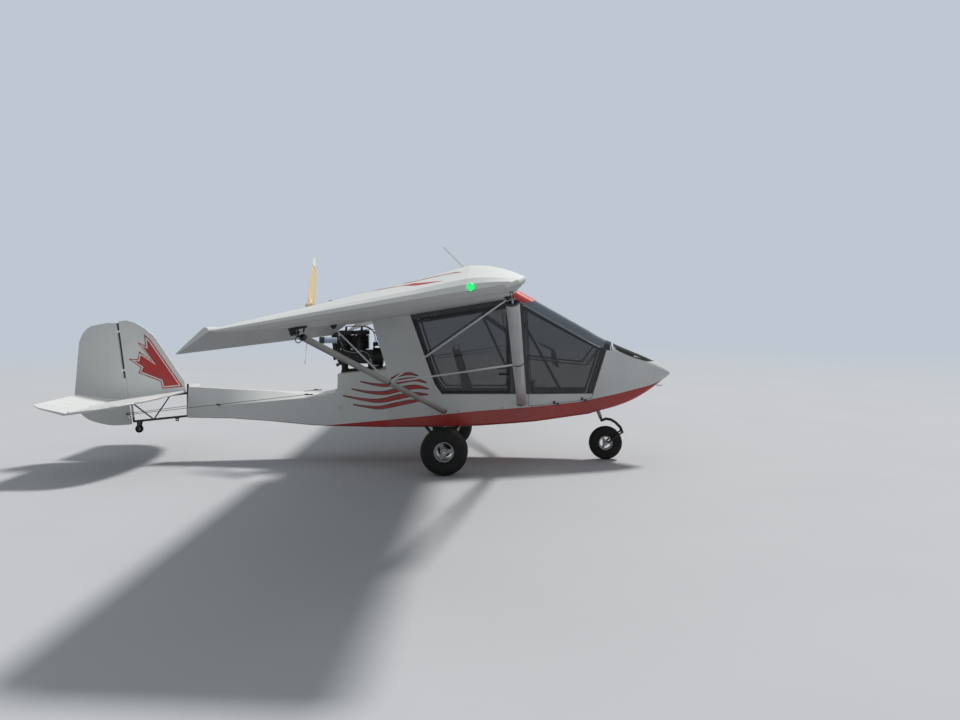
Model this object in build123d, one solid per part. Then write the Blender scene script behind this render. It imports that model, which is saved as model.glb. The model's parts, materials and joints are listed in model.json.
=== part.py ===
from build123d import *
import math
import os

# Two-seat tandem pusher microlight: strut-braced high wing, tricycle gear, fabric over a tube frame.
# Millimetres. X forward, Y to port, Z up. The ground is Z 0, X 0 is midway between nose and rudder edge.

HALF_SPAN = 4800.0
SIDE_Y = 330.0
ROOT_Y = SIDE_Y + 4.0
WALL = 20.0
GLASS = 6.0
RUN_GAP = 6.0
SEAT = 0.3
PIN_R = 4.0
PIN_PLAY = 0.08
BIG = 900.0

nodes = {}


def outline(points):
    return make_face(Polyline(*points, close=True))


def side_slab(sketch, y0, y1):
    """A side-view sketch (x, z) as a slab between two Y values."""
    return extrude(Plane((0, y1, 0), x_dir=(1, 0, 0), z_dir=(0, -1, 0)) * sketch, amount=y1 - y0)


def prism(points, y0, y1):
    return side_slab(outline(points), y0, y1)


def slab(points):
    """A side-view outline through the whole width."""
    return prism(points, -BIG, BIG)


def plate(points, thick):
    """A side-view outline as a plate on the centre plane."""
    return prism(points, -thick / 2, thick / 2)


def flat(points, z0, z1):
    """A plan outline (x, y) as a slab between two heights."""
    return extrude(Plane.XY.offset(z0) * outline(points), amount=z1 - z0)


def grown(points, amount):
    """An outline moved out by an amount, inwards where it is negative."""
    return offset(outline(points), amount=amount, kind=Kind.INTERSECTION)


def tube(p, q, radius):
    """A round bar from p to q."""
    axis = Vector(*q) - Vector(*p)
    return Solid.make_cylinder(radius, axis.length, Plane(origin=p, z_dir=axis))


def ball(p, radius):
    return Pos(*p) * Sphere(radius)


def frame(lines, radius):
    """Bars with rounded joints, fused to one solid."""
    bars = []
    for p, q in lines:
        bars += [tube(p, q, radius), ball(p, radius), ball(q, radius)]
    return bars[0].fuse(*bars[1:])


def along(p, q, t):
    """The point at share t of the way from p to q."""
    return tuple(a + (b - a) * t for a, b in zip(p, q))


def lens(width, thick):
    """A streamlined section: two arcs."""
    top = ThreePointArc((-width / 2, 0), (0, thick / 2), (width / 2, 0))
    bottom = ThreePointArc((width / 2, 0), (0, -thick / 2), (-width / 2, 0))
    return make_face([top, bottom])


def streamlined(p, q, width, thick):
    """A faired strut from p to q, its chord fore and aft."""
    axis = Vector(*q) - Vector(*p)
    section_plane = Plane(origin=p, x_dir=(1, 0, -axis.X / axis.Z), z_dir=axis)
    return extrude(section_plane * lens(width, thick), amount=axis.length)


def mirrored(shape):
    return shape.mirror(Plane.XZ)


def biggest(shape):
    return shape.solids().sort_by(SortBy.VOLUME)[-1]


def pair(shape):
    """A port piece and its starboard twin, as two solids of one node."""
    return Compound(children=[shape, mirrored(shape)])


def both_sides(name, shape):
    nodes[name + "_left"] = shape
    nodes[name + "_right"] = mirrored(shape)


# Wing sections, drawn in the wing's own plane: chord aft, height up

WING_LE_X = 1414.0
WING_LE_Z = 1650.0
INCIDENCE = math.radians(9.3)
DIHEDRAL = math.radians(1.0)
WING_CHORD = 1600.0
CREST = 275.0
CREST_H = 143.0
SHOULDER = 560.0
SHOULDER_H = 112.0
SPAR_H = 34.0
LE_R = 26.0
LAMP_OUT = 14.0
BOW_Y = HALF_SPAN - LAMP_OUT
TIP_W = 400.0
RIB_Y = BOW_Y - TIP_W
TAPE_W = 22.0
TAPE_H = 1.5
TAPE_COUNT = 8
BAY_FRONT = 440.0
BAY_BACK = WING_CHORD - 40.0
BAY_SKIN = 8.0
# The tip's stations as shares of its width and height, with the bow's cut-back nose and tail
# Columns: share of TIP_W, share of section height, nose, tail cut
TIP = [(0.0, 1.0, 0.0, 0.0), (0.62, 0.78, 8.0, 6.0), (0.93, 0.42, 50.0, 24.0), (1.0, 0.22, 92.0, 46.0)]


def wing_point(chord, height, y):
    """Chord from the leading edge and height over the lower skin, at a span station."""
    x = WING_LE_X - chord * math.cos(INCIDENCE) - height * math.sin(INCIDENCE)
    z = WING_LE_Z - chord * math.sin(INCIDENCE) + height * math.cos(INCIDENCE)
    return (x, y, z + max(abs(y) - ROOT_Y, 0.0) * math.tan(DIHEDRAL))


def under_wing(x, drop=0.0):
    """Height of the wing's lower face over the cabin at x, less a drop."""
    return WING_LE_Z - (WING_LE_X - x) * math.tan(INCIDENCE) - drop


def wing_plane(y):
    aft = (-math.cos(INCIDENCE), 0, -math.sin(INCIDENCE))
    return Plane(wing_point(0, 0, y), x_dir=aft, z_dir=(0, 1, 0))


def arc(p, q, rise):
    """A shallow arc from p to q that stands off its chord by the rise."""
    dx, dz = q[0] - p[0], q[1] - p[1]
    run = math.hypot(dx, dz)
    return ThreePointArc(p, ((p[0] + q[0]) / 2 - rise * dz / run, (p[1] + q[1]) / 2 + rise * dx / run), q)


def rib(nose=0.0, tail_cut=0.0, share=1.0):
    """The aerofoil: flat below, a round nose, an arched front and a straight back above."""
    tail = WING_CHORD - tail_cut
    top_nose = (nose + 0.5 * LE_R, max(1.75 * LE_R * share, 12.0))
    crest, shoulder = (CREST + nose / 2, CREST_H * share), (SHOULDER, SHOULDER_H * share)
    end = (tail, max(SPAR_H * share, 10.0))
    edges = [
        Line((nose + LE_R, 0), (tail, 0)),
        Line((tail, 0), end),
        Line(end, shoulder),
        arc(shoulder, crest, -4.0 * share),
        arc(crest, top_nose, -17.0 * share),
        ThreePointArc(top_nose, (nose, 0.43 * top_nose[1]), (nose + LE_R, 0)),
    ]
    return make_face(edges)


def upper_height(chord):
    """Height of the straight upper skin behind the shoulder."""
    return SHOULDER_H + (SPAR_H - SHOULDER_H) * (chord - SHOULDER) / (WING_CHORD - SHOULDER)


def bay(y):
    """The empty bay between the skins, behind the nose ribs."""
    back_top, kink = upper_height(BAY_BACK) - BAY_SKIN, SHOULDER_H - BAY_SKIN
    corners = [(BAY_FRONT, BAY_SKIN), (BAY_BACK, BAY_SKIN), (BAY_BACK, back_top)]
    corners += [(SHOULDER, kink), (BAY_FRONT, kink)]
    return wing_plane(y) * outline(corners)


def wing_half():
    """The covered wing from its root to the tip bow, with raised tapes over the ribs."""
    faces = [wing_plane(RIB_Y + TIP_W * out) * rib(nose, cut, share) for out, share, nose, cut in TIP]
    half = loft([wing_plane(ROOT_Y) * rib(), faces[0]], ruled=True)
    half = half.fuse(*[loft([a, b], ruled=True) for a, b in zip(faces[:-1], faces[1:])])
    pitch = (RIB_Y - ROOT_Y - 2 * TAPE_W) / (TAPE_COUNT - 1)
    tape = offset(rib(), TAPE_H)
    for i in range(TAPE_COUNT):
        y = ROOT_Y + TAPE_W / 2 + pitch * i
        half = half.fuse(loft([wing_plane(y) * tape, wing_plane(y + TAPE_W) * tape], ruled=True))
    return half.cut(loft([bay(ROOT_Y - 1.0), bay(RIB_Y - 30.0)], ruled=True))


# Hinged surfaces: a tube nose on the hinge line, notched round bare pins

LUG_W = 8.0
LUG_R = 10.0
NOTCH_W = 24.0


def notches(body, plane, radius, stations):
    """Cuts the body round its hinge line at each station and leaves the pin."""
    for s in stations:
        base = plane.offset(s - NOTCH_W / 2)
        ring = Solid.make_cylinder(radius + RUN_GAP + 2.0, NOTCH_W, base)
        body = body.cut(ring.cut(Solid.make_cylinder(PIN_R, NOTCH_W, base)))
    return body


def flap(p, q, chord, radius, out, stations, edge=6.0):
    """A control surface from p to q, tapering from its hinge tube to the trailing edge."""
    axis = Vector(*q) - Vector(*p)
    plane = Plane(origin=p, x_dir=out, z_dir=axis)
    wedge = outline([(0, radius), (chord, edge / 2), (chord, -edge / 2), (0, -radius)])
    body = extrude(plane * wedge, amount=axis.length)
    return notches(body.fuse(tube(p, q, radius)), plane, radius, stations)


def lug(p, q, s, reach, back):
    """A fixed hinge ear at station s, bored for the pin, with an arm of the given reach."""
    axis = Vector(*q) - Vector(*p)
    plane = Plane(origin=p, x_dir=back, z_dir=axis).offset(s - LUG_W / 2)
    eye = Solid.make_cylinder(LUG_R, LUG_W, plane)
    arm = extrude(plane * Pos(reach / 2, 0) * Rectangle(reach, 2 * LUG_R - 6.0), amount=LUG_W)
    return eye.fuse(arm).cut(Solid.make_cylinder(PIN_R + PIN_PLAY, LUG_W, plane))


# Wing and ailerons; at rest the ailerons droop

AILERON_CHORD = 185.0
AILERON_DROOP = math.radians(30.0)
AILERON_Y0 = 470.0
AILERON_Y1 = BOW_Y - 40.0
AILERON_R = 15.0
HINGE_IN = 230.0
HINGE_OUT = 400.0
HINGE_COUNT = 4
CENTRE_Y = ROOT_Y - SEAT

hinge_chord = WING_CHORD + RUN_GAP + AILERON_R
ail_p = wing_point(hinge_chord, SPAR_H / 2, AILERON_Y0)
ail_q = wing_point(hinge_chord, SPAR_H / 2, AILERON_Y1)
ail_out = (-math.cos(INCIDENCE + AILERON_DROOP), 0, -math.sin(INCIDENCE + AILERON_DROOP))
ail_back = (math.cos(INCIDENCE), 0, math.sin(INCIDENCE))
hinge_pitch = (AILERON_Y1 - HINGE_OUT - AILERON_Y0 - HINGE_IN) / (HINGE_COUNT - 1)
ail_hinges = [HINGE_IN + hinge_pitch * i for i in range(HINGE_COUNT)]
wing = wing_half()
for s in ail_hinges:
    wing = wing.fuse(lug(ail_p, ail_q, s, AILERON_R + RUN_GAP + 8.0, ail_back))
centre = extrude(wing_plane(-CENTRE_Y) * rib(), amount=2 * CENTRE_Y)
nodes["wing_center"] = centre
both_sides("wing", wing)
both_sides("aileron", flap(ail_p, ail_q, AILERON_CHORD, AILERON_R, ail_out, ail_hinges))

# Navigation lamps on the tip bows
LAMP_R = 22.0
LAMP_CHORD = 290.0
lamp_at = wing_point(LAMP_CHORD, 16.0, HALF_SPAN - LAMP_R)
both_sides("nav_lamp", ball(lamp_at, LAMP_R).cut(wing))

# Pod: cross-sections from cabin to nose tip
# Columns: x, z_bottom, z_top, half_width, r_top, r_bottom

NOSE_JOIN = (2200.0, 497.0, 1330.0, 282.0, 105.0, 25.0)
CABIN_STATIONS = [
    (-20.0, 372.0, 1780.0, SIDE_Y, 20.0, 25.0),
    (660.0, 372.0, 1780.0, SIDE_Y, 20.0, 25.0),
    (1113.0, 385.0, 1780.0, SIDE_Y, 60.0, 25.0),
    (1480.0, 411.0, 1735.0, SIDE_Y, 110.0, 25.0),
    (1663.0, 426.0, 1632.0, 322.0, 110.0, 25.0),
    NOSE_JOIN,
]
NOSE_STATIONS = [
    NOSE_JOIN,
    (2500.0, 575.0, 1173.0, 236.0, 98.0, 32.0),
    (2780.0, 695.0, 1056.0, 166.0, 80.0, 40.0),
    (2960.0, 810.0, 965.0, 92.0, 50.0, 36.0),
    (3050.0, 868.0, 902.0, 20.0, 12.0, 12.0),
]


def section(x, z0, z1, half, r_top, r_bottom):
    """A rounded cross-section at x."""
    face = Rectangle(2 * half, z1 - z0)
    face = fillet(face.vertices().sort_by(Axis.Y)[-2:], r_top)
    face = fillet(face.vertices().sort_by(Axis.Y)[:2], r_bottom)
    return Plane((x, 0, (z0 + z1) / 2), x_dir=(0, 1, 0), z_dir=(1, 0, 0)) * face


def hull(stations, inset, ruled):
    """The hull through its stations, made smaller all round by the inset."""
    faces = []
    for x, z0, z1, half, r_top, r_bottom in stations:
        r_top, r_bottom = max(r_top - inset, 1.0), max(r_bottom - inset, 1.0)
        faces.append(section(x, z0 + inset, z1 - inset, half - inset, r_top, r_bottom))
    return loft(faces, ruled=ruled)


def pod(inset):
    """Cabin and nose; the inside stops at the last station before the tip."""
    nose = NOSE_STATIONS if inset == 0.0 else NOSE_STATIONS[:-1]
    return hull(CABIN_STATIONS, inset, True).fuse(hull(nose, inset, False))


def floor_z(x):
    """Height of the cabin floor on the centre plane at x."""
    for low, high in zip(CABIN_STATIONS[:-1], CABIN_STATIONS[1:]):
        if low[0] <= x <= high[0]:
            return low[1] + (high[1] - low[1]) * (x - low[0]) / (high[0] - low[0]) + WALL
    return CABIN_STATIONS[-1][1] + WALL


outer = pod(0.0)
inner = pod(WALL)
skin = outer.cut(inner)
pane_skin = outer.cut(pod(GLASS))

# Side-view lines that split the pod into its panels
BACK_X = 200.0
BACK_Z = 917.0
BACK_TOP_X = 42.0
FRONT_X = WING_LE_X + 2.0
SILL_Z = 708.0
DOOR_GAP = 5.0
BAND_TOP = [(BACK_X, 445.5), (785.0, 503.0), (1113.0, 535.0), (1668.0, 577.0), (2084.0, 618.0)]
BAND_TOP += [(2510.0, 700.0), (2820.0, 770.0), (3060.0, 850.0)]
NOSE_EDGE = [(2209.0, 500.0), (2272.0, 708.0), (2430.0, 1222.0), (2430.0, 1500.0)]
CAP_FRONT = [(1520.0, 1606.0), (1580.0, 1608.0), (1645.0, 1622.0), (1662.0, 1640.0), (1680.0, 1900.0)]
# The front door's corners: sill back, sill bend, sill front, top front, top bend, top back
FRONT_DOOR = [(1600.0, 584.0), (2084.0, 632.0), (2221.0, 658.0)]
FRONT_DOOR += [(2369.0, 1130.0), (2200.0, 1212.0), (1550.0, 1578.0)]

below_band = slab([(BACK_X, 0.0)] + BAND_TOP + [(3060.0, 0.0)])
cabin_back = [(BACK_X, 300.0), (BACK_X, BACK_Z), (BACK_TOP_X, under_wing(BACK_TOP_X, SEAT))]
cabin_front = [(FRONT_X, under_wing(FRONT_X, SEAT)), (FRONT_X, 1900.0), (3200.0, 1900.0), (3200.0, 300.0)]
nose_zone = slab(NOSE_EDGE + [(3200.0, 1500.0), (3200.0, 500.0)])
top_front, top_bend, top_back = [(x, z + DOOR_GAP) for x, z in FRONT_DOOR[3:]]
screen_low = [(2407.0, top_front[1] - 8.0), top_front, top_bend, top_back, (1500.0, top_back[1] + 20.0)]
screen_zone = slab(CAP_FRONT + [(2430.0, 1900.0), NOSE_EDGE[2]] + screen_low)
cap_zone = slab([(FRONT_X, under_wing(FRONT_X, 40.0)), screen_low[-1]] + CAP_FRONT + [(FRONT_X, 1900.0)])

belly = skin & below_band
above = (skin & slab(cabin_back + cabin_front)) - below_band
nodes["nose_cowl"] = above & nose_zone
nodes["windscreen_cap"] = skin & cap_zone
sides = above - nose_zone - screen_zone - cap_zone

# Rear doors, hinged along their top edge under the wing; glass in a thin frame
HEADER = 62.0
REAR_DOOR_FRONT_X = 1405.0
DOOR_RAIL = 22.0
HINGE_OUT_Y = 7.0
KNUCKLES = (620.0, 1290.0)
KNUCKLE_R = 6.0
KNUCKLE_L = 60.0
LEAF_H = 30.0
LEAF_T = 4.0
DOOR_PIN_R = 2.5
REAR_DOOR = [
    (735.0, SILL_Z + 2.0),
    (671.0, 800.0),
    (570.0, 1073.0),
    (453.0, under_wing(453.0, HEADER)),
    (REAR_DOOR_FRONT_X, under_wing(REAR_DOOR_FRONT_X, HEADER)),
    (REAR_DOOR_FRONT_X, SILL_Z + 2.0),
]


def hinge_point(x):
    """A point of the rear door's hinge line."""
    return (x, SIDE_Y + HINGE_OUT_Y, under_wing(x, HEADER - 4.0))


def leaf(x0, x1, low, high):
    """A hinge plate on the cabin side, its edges along the hinge line."""
    z0, z1 = hinge_point(x0)[2], hinge_point(x1)[2]
    corners = [(x0, z0 + low), (x1, z1 + low), (x1, z1 + high), (x0, z0 + high)]
    return prism(corners, SIDE_Y, SIDE_Y + LEAF_T)


door_sketch = grown(REAR_DOOR, 0.0)
pane_sketch = grown(REAR_DOOR, -DOOR_RAIL)
pane_sketch = fillet(pane_sketch.vertices(), 30.0)
rear_frame = side_slab(door_sketch, SIDE_Y - WALL, SIDE_Y).cut(side_slab(pane_sketch, 0.0, BIG))
pane_y = SIDE_Y - WALL / 2 - GLASS / 2
rear_pane = side_slab(pane_sketch, pane_y, pane_y + GLASS)
sides = sides - side_slab(grown(REAR_DOOR, DOOR_GAP), -BIG, BIG)
for x in KNUCKLES:
    p0, p1 = hinge_point(x), hinge_point(x + KNUCKLE_L)
    m0, m1 = hinge_point(x - KNUCKLE_L), hinge_point(x - 1.0)
    fixed = tube(p0, p1, KNUCKLE_R).fuse(leaf(x + 2.0, x + KNUCKLE_L - 2.0, 0.0, LEAF_H))
    fixed = fixed.cut(tube(p0, p1, DOOR_PIN_R + PIN_PLAY))
    sides = sides.fuse(fixed, mirrored(fixed))
    moving = tube(m0, m1, KNUCKLE_R).fuse(leaf(x - KNUCKLE_L + 2.0, x - 3.0, -LEAF_H, 0.0))
    rear_frame = rear_frame.fuse(moving, tube(m0, p1, DOOR_PIN_R))

HANDLE_R = 6.0
HANDLE_OUT = 28.0
handle_x = REAR_DOOR_FRONT_X - DOOR_RAIL / 2
HANDLE = [(handle_x, SIDE_Y - 1.0, 900.0), (handle_x, SIDE_Y + HANDLE_OUT, 900.0)]
HANDLE += [(handle_x - 90.0, SIDE_Y + HANDLE_OUT, 900.0)]
rear_frame = rear_frame.fuse(frame([HANDLE[0:2], HANDLE[1:3]], HANDLE_R))
both_sides("rear_door", rear_frame)
both_sides("rear_door_glass", rear_pane)

# Front doors, cut from the pod's own skin and hinged at the bottom on two straps
# Columns: x, half width of the pod there
STRAPS = [(1866.0, 306.9), (2143.0, 286.2)]
STRAP_W = 30.0
STRAP_H = 26.0
STRAP_R = 5.0
STRAP_OUT = 7.0
FRONT_RAIL = 20.0


def door_foot(x):
    """Height of the front door's lower edge at x."""
    p, q = FRONT_DOOR[0:2] if x < FRONT_DOOR[1][0] else FRONT_DOOR[1:3]
    return p[1] + (q[1] - p[1]) * (x - p[0]) / (q[0] - p[0])


pane_points = [(1594.0, SILL_Z - FRONT_RAIL), (2230.0, SILL_Z - FRONT_RAIL)] + FRONT_DOOR[3:]
front_sketch = grown(pane_points, -FRONT_RAIL)
front_sketch = fillet(front_sketch.vertices(), 14.0)
front_pane = side_slab(front_sketch, 0.0, BIG)
front_frame = (skin & prism(FRONT_DOOR, 0.0, BIG)) - front_pane
front_gap = side_slab(grown(FRONT_DOOR, DOOR_GAP), -BIG, BIG)
sides = sides - front_gap
nodes["windscreen"] = (pane_skin & screen_zone) - front_gap
nodes["nose_cowl"] = nodes["nose_cowl"] - nodes["windscreen"]
strap_at = [Vector(x, y + STRAP_OUT, door_foot(x) - DOOR_GAP / 2) for x, y in STRAPS]
strap_run = (strap_at[1] - strap_at[0]).normalized()
strap_in = Vector(0, 0, 1).cross(strap_run)
for at in strap_at:
    ends = [at + strap_run * d for d in (-STRAP_W, -1.0, 1.0, STRAP_W)]
    face = Plane(at + strap_in * (STRAP_OUT + 3.0) * -1.0, x_dir=strap_run, z_dir=strap_in)
    up = extrude(face * Pos(-STRAP_W / 2 - 1.0, -STRAP_H / 2) * Rectangle(STRAP_W - 6.0, STRAP_H), amount=8.0)
    down = extrude(face * Pos(STRAP_W / 2 + 1.0, STRAP_H / 2) * Rectangle(STRAP_W - 6.0, STRAP_H), amount=8.0)
    moving = tube(ends[0], ends[1], STRAP_R).fuse(up, tube(ends[0], ends[3], DOOR_PIN_R))
    fixed = tube(ends[2], ends[3], STRAP_R).fuse(down).cut(tube(ends[2], ends[3], DOOR_PIN_R + PIN_PLAY))
    front_frame = front_frame.fuse(moving)
    belly = belly.fuse(fixed, mirrored(fixed))
both_sides("front_door", front_frame)
both_sides("front_door_glass", pane_skin & front_pane)

port = prism([(-500.0, 0.0), (3500.0, 0.0), (3500.0, 2500.0), (-500.0, 2500.0)], 0.0, 2000.0)
nodes["side_panel_left"] = sides & port
nodes["side_panel_right"] = sides & mirrored(port)

# Tail boom: fabric over a tapering frame, with the engine's deck on its front
BOOM_WALL = 12.0
# Columns: x, z_bottom, z of the side's edge, z_top, half_width, half width of the roof's flat
BOOM_STATIONS = [
    (BACK_X - SEAT, 372.0, 690.0, 705.0, SIDE_Y, 300.0),
    (-420.0, 374.0, 676.0, 690.0, 253.0, 215.0),
    (-560.0, 376.0, 660.0, 674.0, 232.0, 150.0),
    (-1005.0, 410.0, 612.0, 699.0, 172.0, 40.0),
    (-1410.0, 430.0, 572.0, 718.0, 116.0, 24.0),
    (-1880.0, 428.0, 522.0, 742.0, 50.0, 14.0),
]


def boom_section(x, z0, z_edge, z_top, half, top_half, inset=0.0):
    """Flat sides up to an edge, then a roof that closes to a ridge."""
    half, top_half = half - inset, max(top_half - inset, 4.0)
    corners = [(half - 12.0, z0 + inset), (half, z0 + inset + 12.0)]
    corners += [(half, z_edge - inset / 2), (top_half, z_top - inset)]
    corners += [(-y, z) for y, z in reversed(corners)]
    return Plane((x, 0, 0), x_dir=(0, 1, 0), z_dir=(1, 0, 0)) * outline(corners)


def boom_hull(stations, inset):
    faces = [boom_section(*row, inset=inset) for row in stations]
    spans = [loft([a, b], ruled=True) for a, b in zip(faces[:-1], faces[1:])]
    return spans[0].fuse(*spans[1:])


boom_room = BOOM_STATIONS[:-2] + [(-1860.0,) + BOOM_STATIONS[-1][1:]]
nodes["tail_boom"] = boom_hull(BOOM_STATIONS, 0.0).cut(boom_hull(boom_room, BOOM_WALL))

DECK_WALL = 14.0
DECK_BACK = -308.0
DECK_TOP = [(-293.0, 894.0), (191.0, 944.0)]
deck_half = [(BACK_X, SIDE_Y), (-420.0, 253.0)]


def deck_top(x):
    """Height of the deck's sloping top at x."""
    (x0, z0), (x1, z1) = DECK_TOP
    return z0 + (z1 - z0) * (x - x0) / (x1 - x0)


def deck_side(inset):
    """The deck in side view: its foot sweeps out to meet the boom."""
    front, back, foot = BACK_X - SEAT, DECK_BACK + inset, -420.0 + 3.5 * inset
    corners = [(foot, 694.0), (foot, 676.6), (front, 690.6), (front, BACK_Z - inset)]
    corners += [(DECK_TOP[1][0], DECK_TOP[1][1] - inset), (back, deck_top(back) - inset), (back, 776.0)]
    return make_face([Polyline(*corners), ThreePointArc((back, 776.0), (back - 22.0, 722.0), corners[0])])


def deck_plan(inset):
    """The deck's plan, tapering with the boom."""
    (x0, y0), (x1, y1) = deck_half
    return flat([(x0, y0 - inset), (x1, y1 - inset), (x1, inset - y1), (x0, inset - y0)], 600.0, 960.0)


deck = side_slab(deck_side(0.0), -BIG, BIG) & deck_plan(0.0)
deck = deck - (side_slab(deck_side(DECK_WALL), -BIG, BIG) & deck_plan(DECK_WALL))
nodes["engine_deck"] = biggest(deck.cut(boom_hull(BOOM_STATIONS[:3], 0.0)))

FIREWALL_T = 10.0
firewall = [(BACK_X, 395.0)] + cabin_back[1:]
firewall = slab(firewall + [(x + FIREWALL_T, z) for x, z in reversed(firewall)])
nodes["rear_bulkhead"] = firewall & inner

# Cabin frame: welded bars seen through the glass, with the nose gear's head tube
BAR_R = 11.0
BAR_Y = SIDE_Y - WALL - BAR_R - SEAT
HOOP_X = 1432.0
HOOP_Z = under_wing(HOOP_X, 25.0)
BELT_Z = 985.0
bars = [((HOOP_X, BAR_Y, HOOP_Z), (HOOP_X, -BAR_Y, HOOP_Z)), ((HOOP_X, BAR_Y, 450.0), (HOOP_X, -BAR_Y, 450.0))]
for y in (BAR_Y, -BAR_Y):
    bars += [
        ((HOOP_X, y, 450.0), (HOOP_X, y, HOOP_Z)),
        ((HOOP_X, y, BELT_Z + 80.0), (2180.0, y * 0.80, BELT_Z)),
        ((1585.0, y * 0.97, BELT_Z + 63.0), (1595.0, y * 0.97, 560.0)),
        ((HOOP_X, y, HOOP_Z), (1940.0, y * 0.86, 700.0)),
        ((HOOP_X, y, HOOP_Z), (600.0, y, under_wing(600.0, 25.0))),
        ((2180.0, y * 0.80, BELT_Z), (2300.0, y * 0.74, 1150.0)),
    ]
STEER_LOW, STEER_HIGH = (2357.0, 0.0, 396.0), (2290.0, 0.0, 577.0)
HEAD_R, STEM_R = 19.0, 11.0
head_low = along(STEER_LOW, STEER_HIGH, 0.22)
head = tube(head_low, STEER_HIGH, HEAD_R)
stem_hole = tube(STEER_LOW, along(STEER_LOW, STEER_HIGH, 0.85), STEM_R + PIN_PLAY)
nodes["belly_pan"] = belly.cut(head)
cage = frame(bars, BAR_R)
nodes["cabin_frame"] = Compound(children=[cage, head.cut(stem_hole)])

# Seats, one behind the other: one bent cushion each, on four legs from the floor
# Columns: node, x and z of the pan's front edge
SEATS = [("seat_front", 1480.0, 610.0), ("seat_rear", 820.0, 640.0)]
SEAT_T = 60.0
SEAT_HALF = 190.0
LEG_Y = 150.0
legs = []
for name, x, z in SEATS:
    profile = outline(
        [
            (x, z),
            (x, z - SEAT_T),
            (x - 440.0, z - 105.0),
            (x - 490.0, z - 60.0),
            (x - 655.0, z + 540.0),
            (x - 600.0, z + 560.0),
            (x - 415.0, z - 38.0),
        ]
    )
    nodes[name] = side_slab(fillet(profile.vertices(), 14.0), -SEAT_HALF, SEAT_HALF)
    for y in (-LEG_Y, LEG_Y):
        for back, top in ((90.0, 68.0), (400.0, 98.0)):
            legs.append(tube((x - back, y, z - top), (x - back, y, floor_z(x - back) + 1.0), BAR_R))
nodes["seat_legs"] = Compound(children=legs)

# Instrument panel across the cabin, under a short coaming, and the stick
COAMING = [(1900.0, 960.0), (1860.0, 1130.0), (1725.0, 1190.0)]
COAMING += [(1722.0, 1180.0), (1850.0, 1118.0), (1885.0, 955.0)]
nodes["instrument_panel"] = biggest((slab(COAMING) & inner).cut(cage))
STICK_X, STICK_R = 1690.0, 10.0
STICK = [(STICK_X, 0.0, floor_z(STICK_X) + STICK_R + SEAT), (STICK_X, 0.0, 500.0), (1640.0, 0.0, 780.0)]
nodes["control_stick"] = frame([STICK[0:2], STICK[1:3]], STICK_R)

# Lift struts and jury struts
STRUT_FOOT_Y = SIDE_Y - 2.0
STRUT_HEAD_Y = 3050.0
HEAD_DROP = 52.0
JURY_T = 0.47
JURY_R = 7.0
JURY_DROP = 24.0
FRONT_SPAR, REAR_SPAR = 52.0, WING_CHORD - 55.0
FRONT_FOOT, FRONT_HEAD = (1529.0, STRUT_FOOT_Y, 600.0), wing_point(FRONT_SPAR, -HEAD_DROP, STRUT_HEAD_Y)
REAR_FOOT, REAR_HEAD = (767.0, STRUT_FOOT_Y, 523.0), wing_point(REAR_SPAR, -HEAD_DROP, STRUT_HEAD_Y)
FORK_HALF, FORK_T, FORK_PIN_R, JURY_PIN_R = 30.0, 5.0, 5.0, 3.0
TONGUE_T, TONGUE_L, EYE_R = 12.0, 74.0, 11.0
aft_dir = (-math.cos(INCIDENCE), 0, -math.sin(INCIDENCE))


def strut(foot, head, width, thick):
    """A faired strut with a flat eye at its head, bored for the fork's pin."""
    run, pin = Vector(*head) - Vector(*foot), Vector(*aft_dir)
    base = Plane(head, x_dir=run - pin * run.dot(pin), z_dir=pin).offset(-TONGUE_T / 2)
    bar = Pos(-TONGUE_L / 2, 0) * Rectangle(TONGUE_L, 2 * EYE_R) + Circle(EYE_R)
    eye = extrude(base * (bar - Circle(FORK_PIN_R + PIN_PLAY)), amount=TONGUE_T)
    return streamlined(foot, along(foot, head, 1.0 - (TONGUE_L - 14.0) / run.length), width, thick).fuse(eye)


nodes["front_struts"] = pair(strut(FRONT_FOOT, FRONT_HEAD, 97.0, 36.0))
nodes["rear_struts"] = pair(strut(REAR_FOOT, REAR_HEAD, 52.0, 28.0))
f_mid, r_mid = along(FRONT_FOOT, FRONT_HEAD, JURY_T), along(REAR_FOOT, REAR_HEAD, JURY_T)
jury_front = wing_point(FRONT_SPAR, -JURY_DROP, f_mid[1])
jury_rear = wing_point(REAR_SPAR, -JURY_DROP, f_mid[1])
jury_lines = [(f_mid, r_mid), (r_mid, jury_front), (r_mid, jury_rear), (f_mid, jury_front)]
jury_frame = frame(jury_lines, JURY_R)
for at in (jury_front, jury_rear):
    ends = [(at[0], at[1] + s * 2 * JURY_R, at[2]) for s in (-1, 1)]
    jury_frame = jury_frame.cut(tube(*ends, JURY_PIN_R + PIN_PLAY))
nodes["jury_struts"] = pair(jury_frame)

# Forked fittings that hang under the spars and take the strut heads


def spar_fork(chord, drop, y, gap, pin_r, x_dir, z_dir):
    """A foot plate under the skin with two cheeks beside a strut head and a pin through them."""
    sink = SEAT + FORK_HALF * math.tan(DIHEDRAL)
    base = Plane(wing_point(chord, -sink, y), x_dir=x_dir, z_dir=z_dir)
    depth = drop - sink
    cheek = outline([(-FORK_HALF, 0), (FORK_HALF, 0), (13.0, depth + 11.0), (-13.0, depth + 11.0)])
    out = gap / 2 + FORK_T
    foot = extrude(base.offset(-out) * Pos(0, FORK_T / 2) * Rectangle(2 * FORK_HALF, FORK_T), amount=2 * out)
    pin = extrude(base.offset(-out - 5.0) * Pos(0, depth) * Circle(pin_r), amount=2 * out + 10.0)
    cheeks = [extrude(base.offset(at) * cheek, amount=FORK_T) for at in (-out, gap / 2)]
    return foot.fuse(pin, *cheeks)


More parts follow.
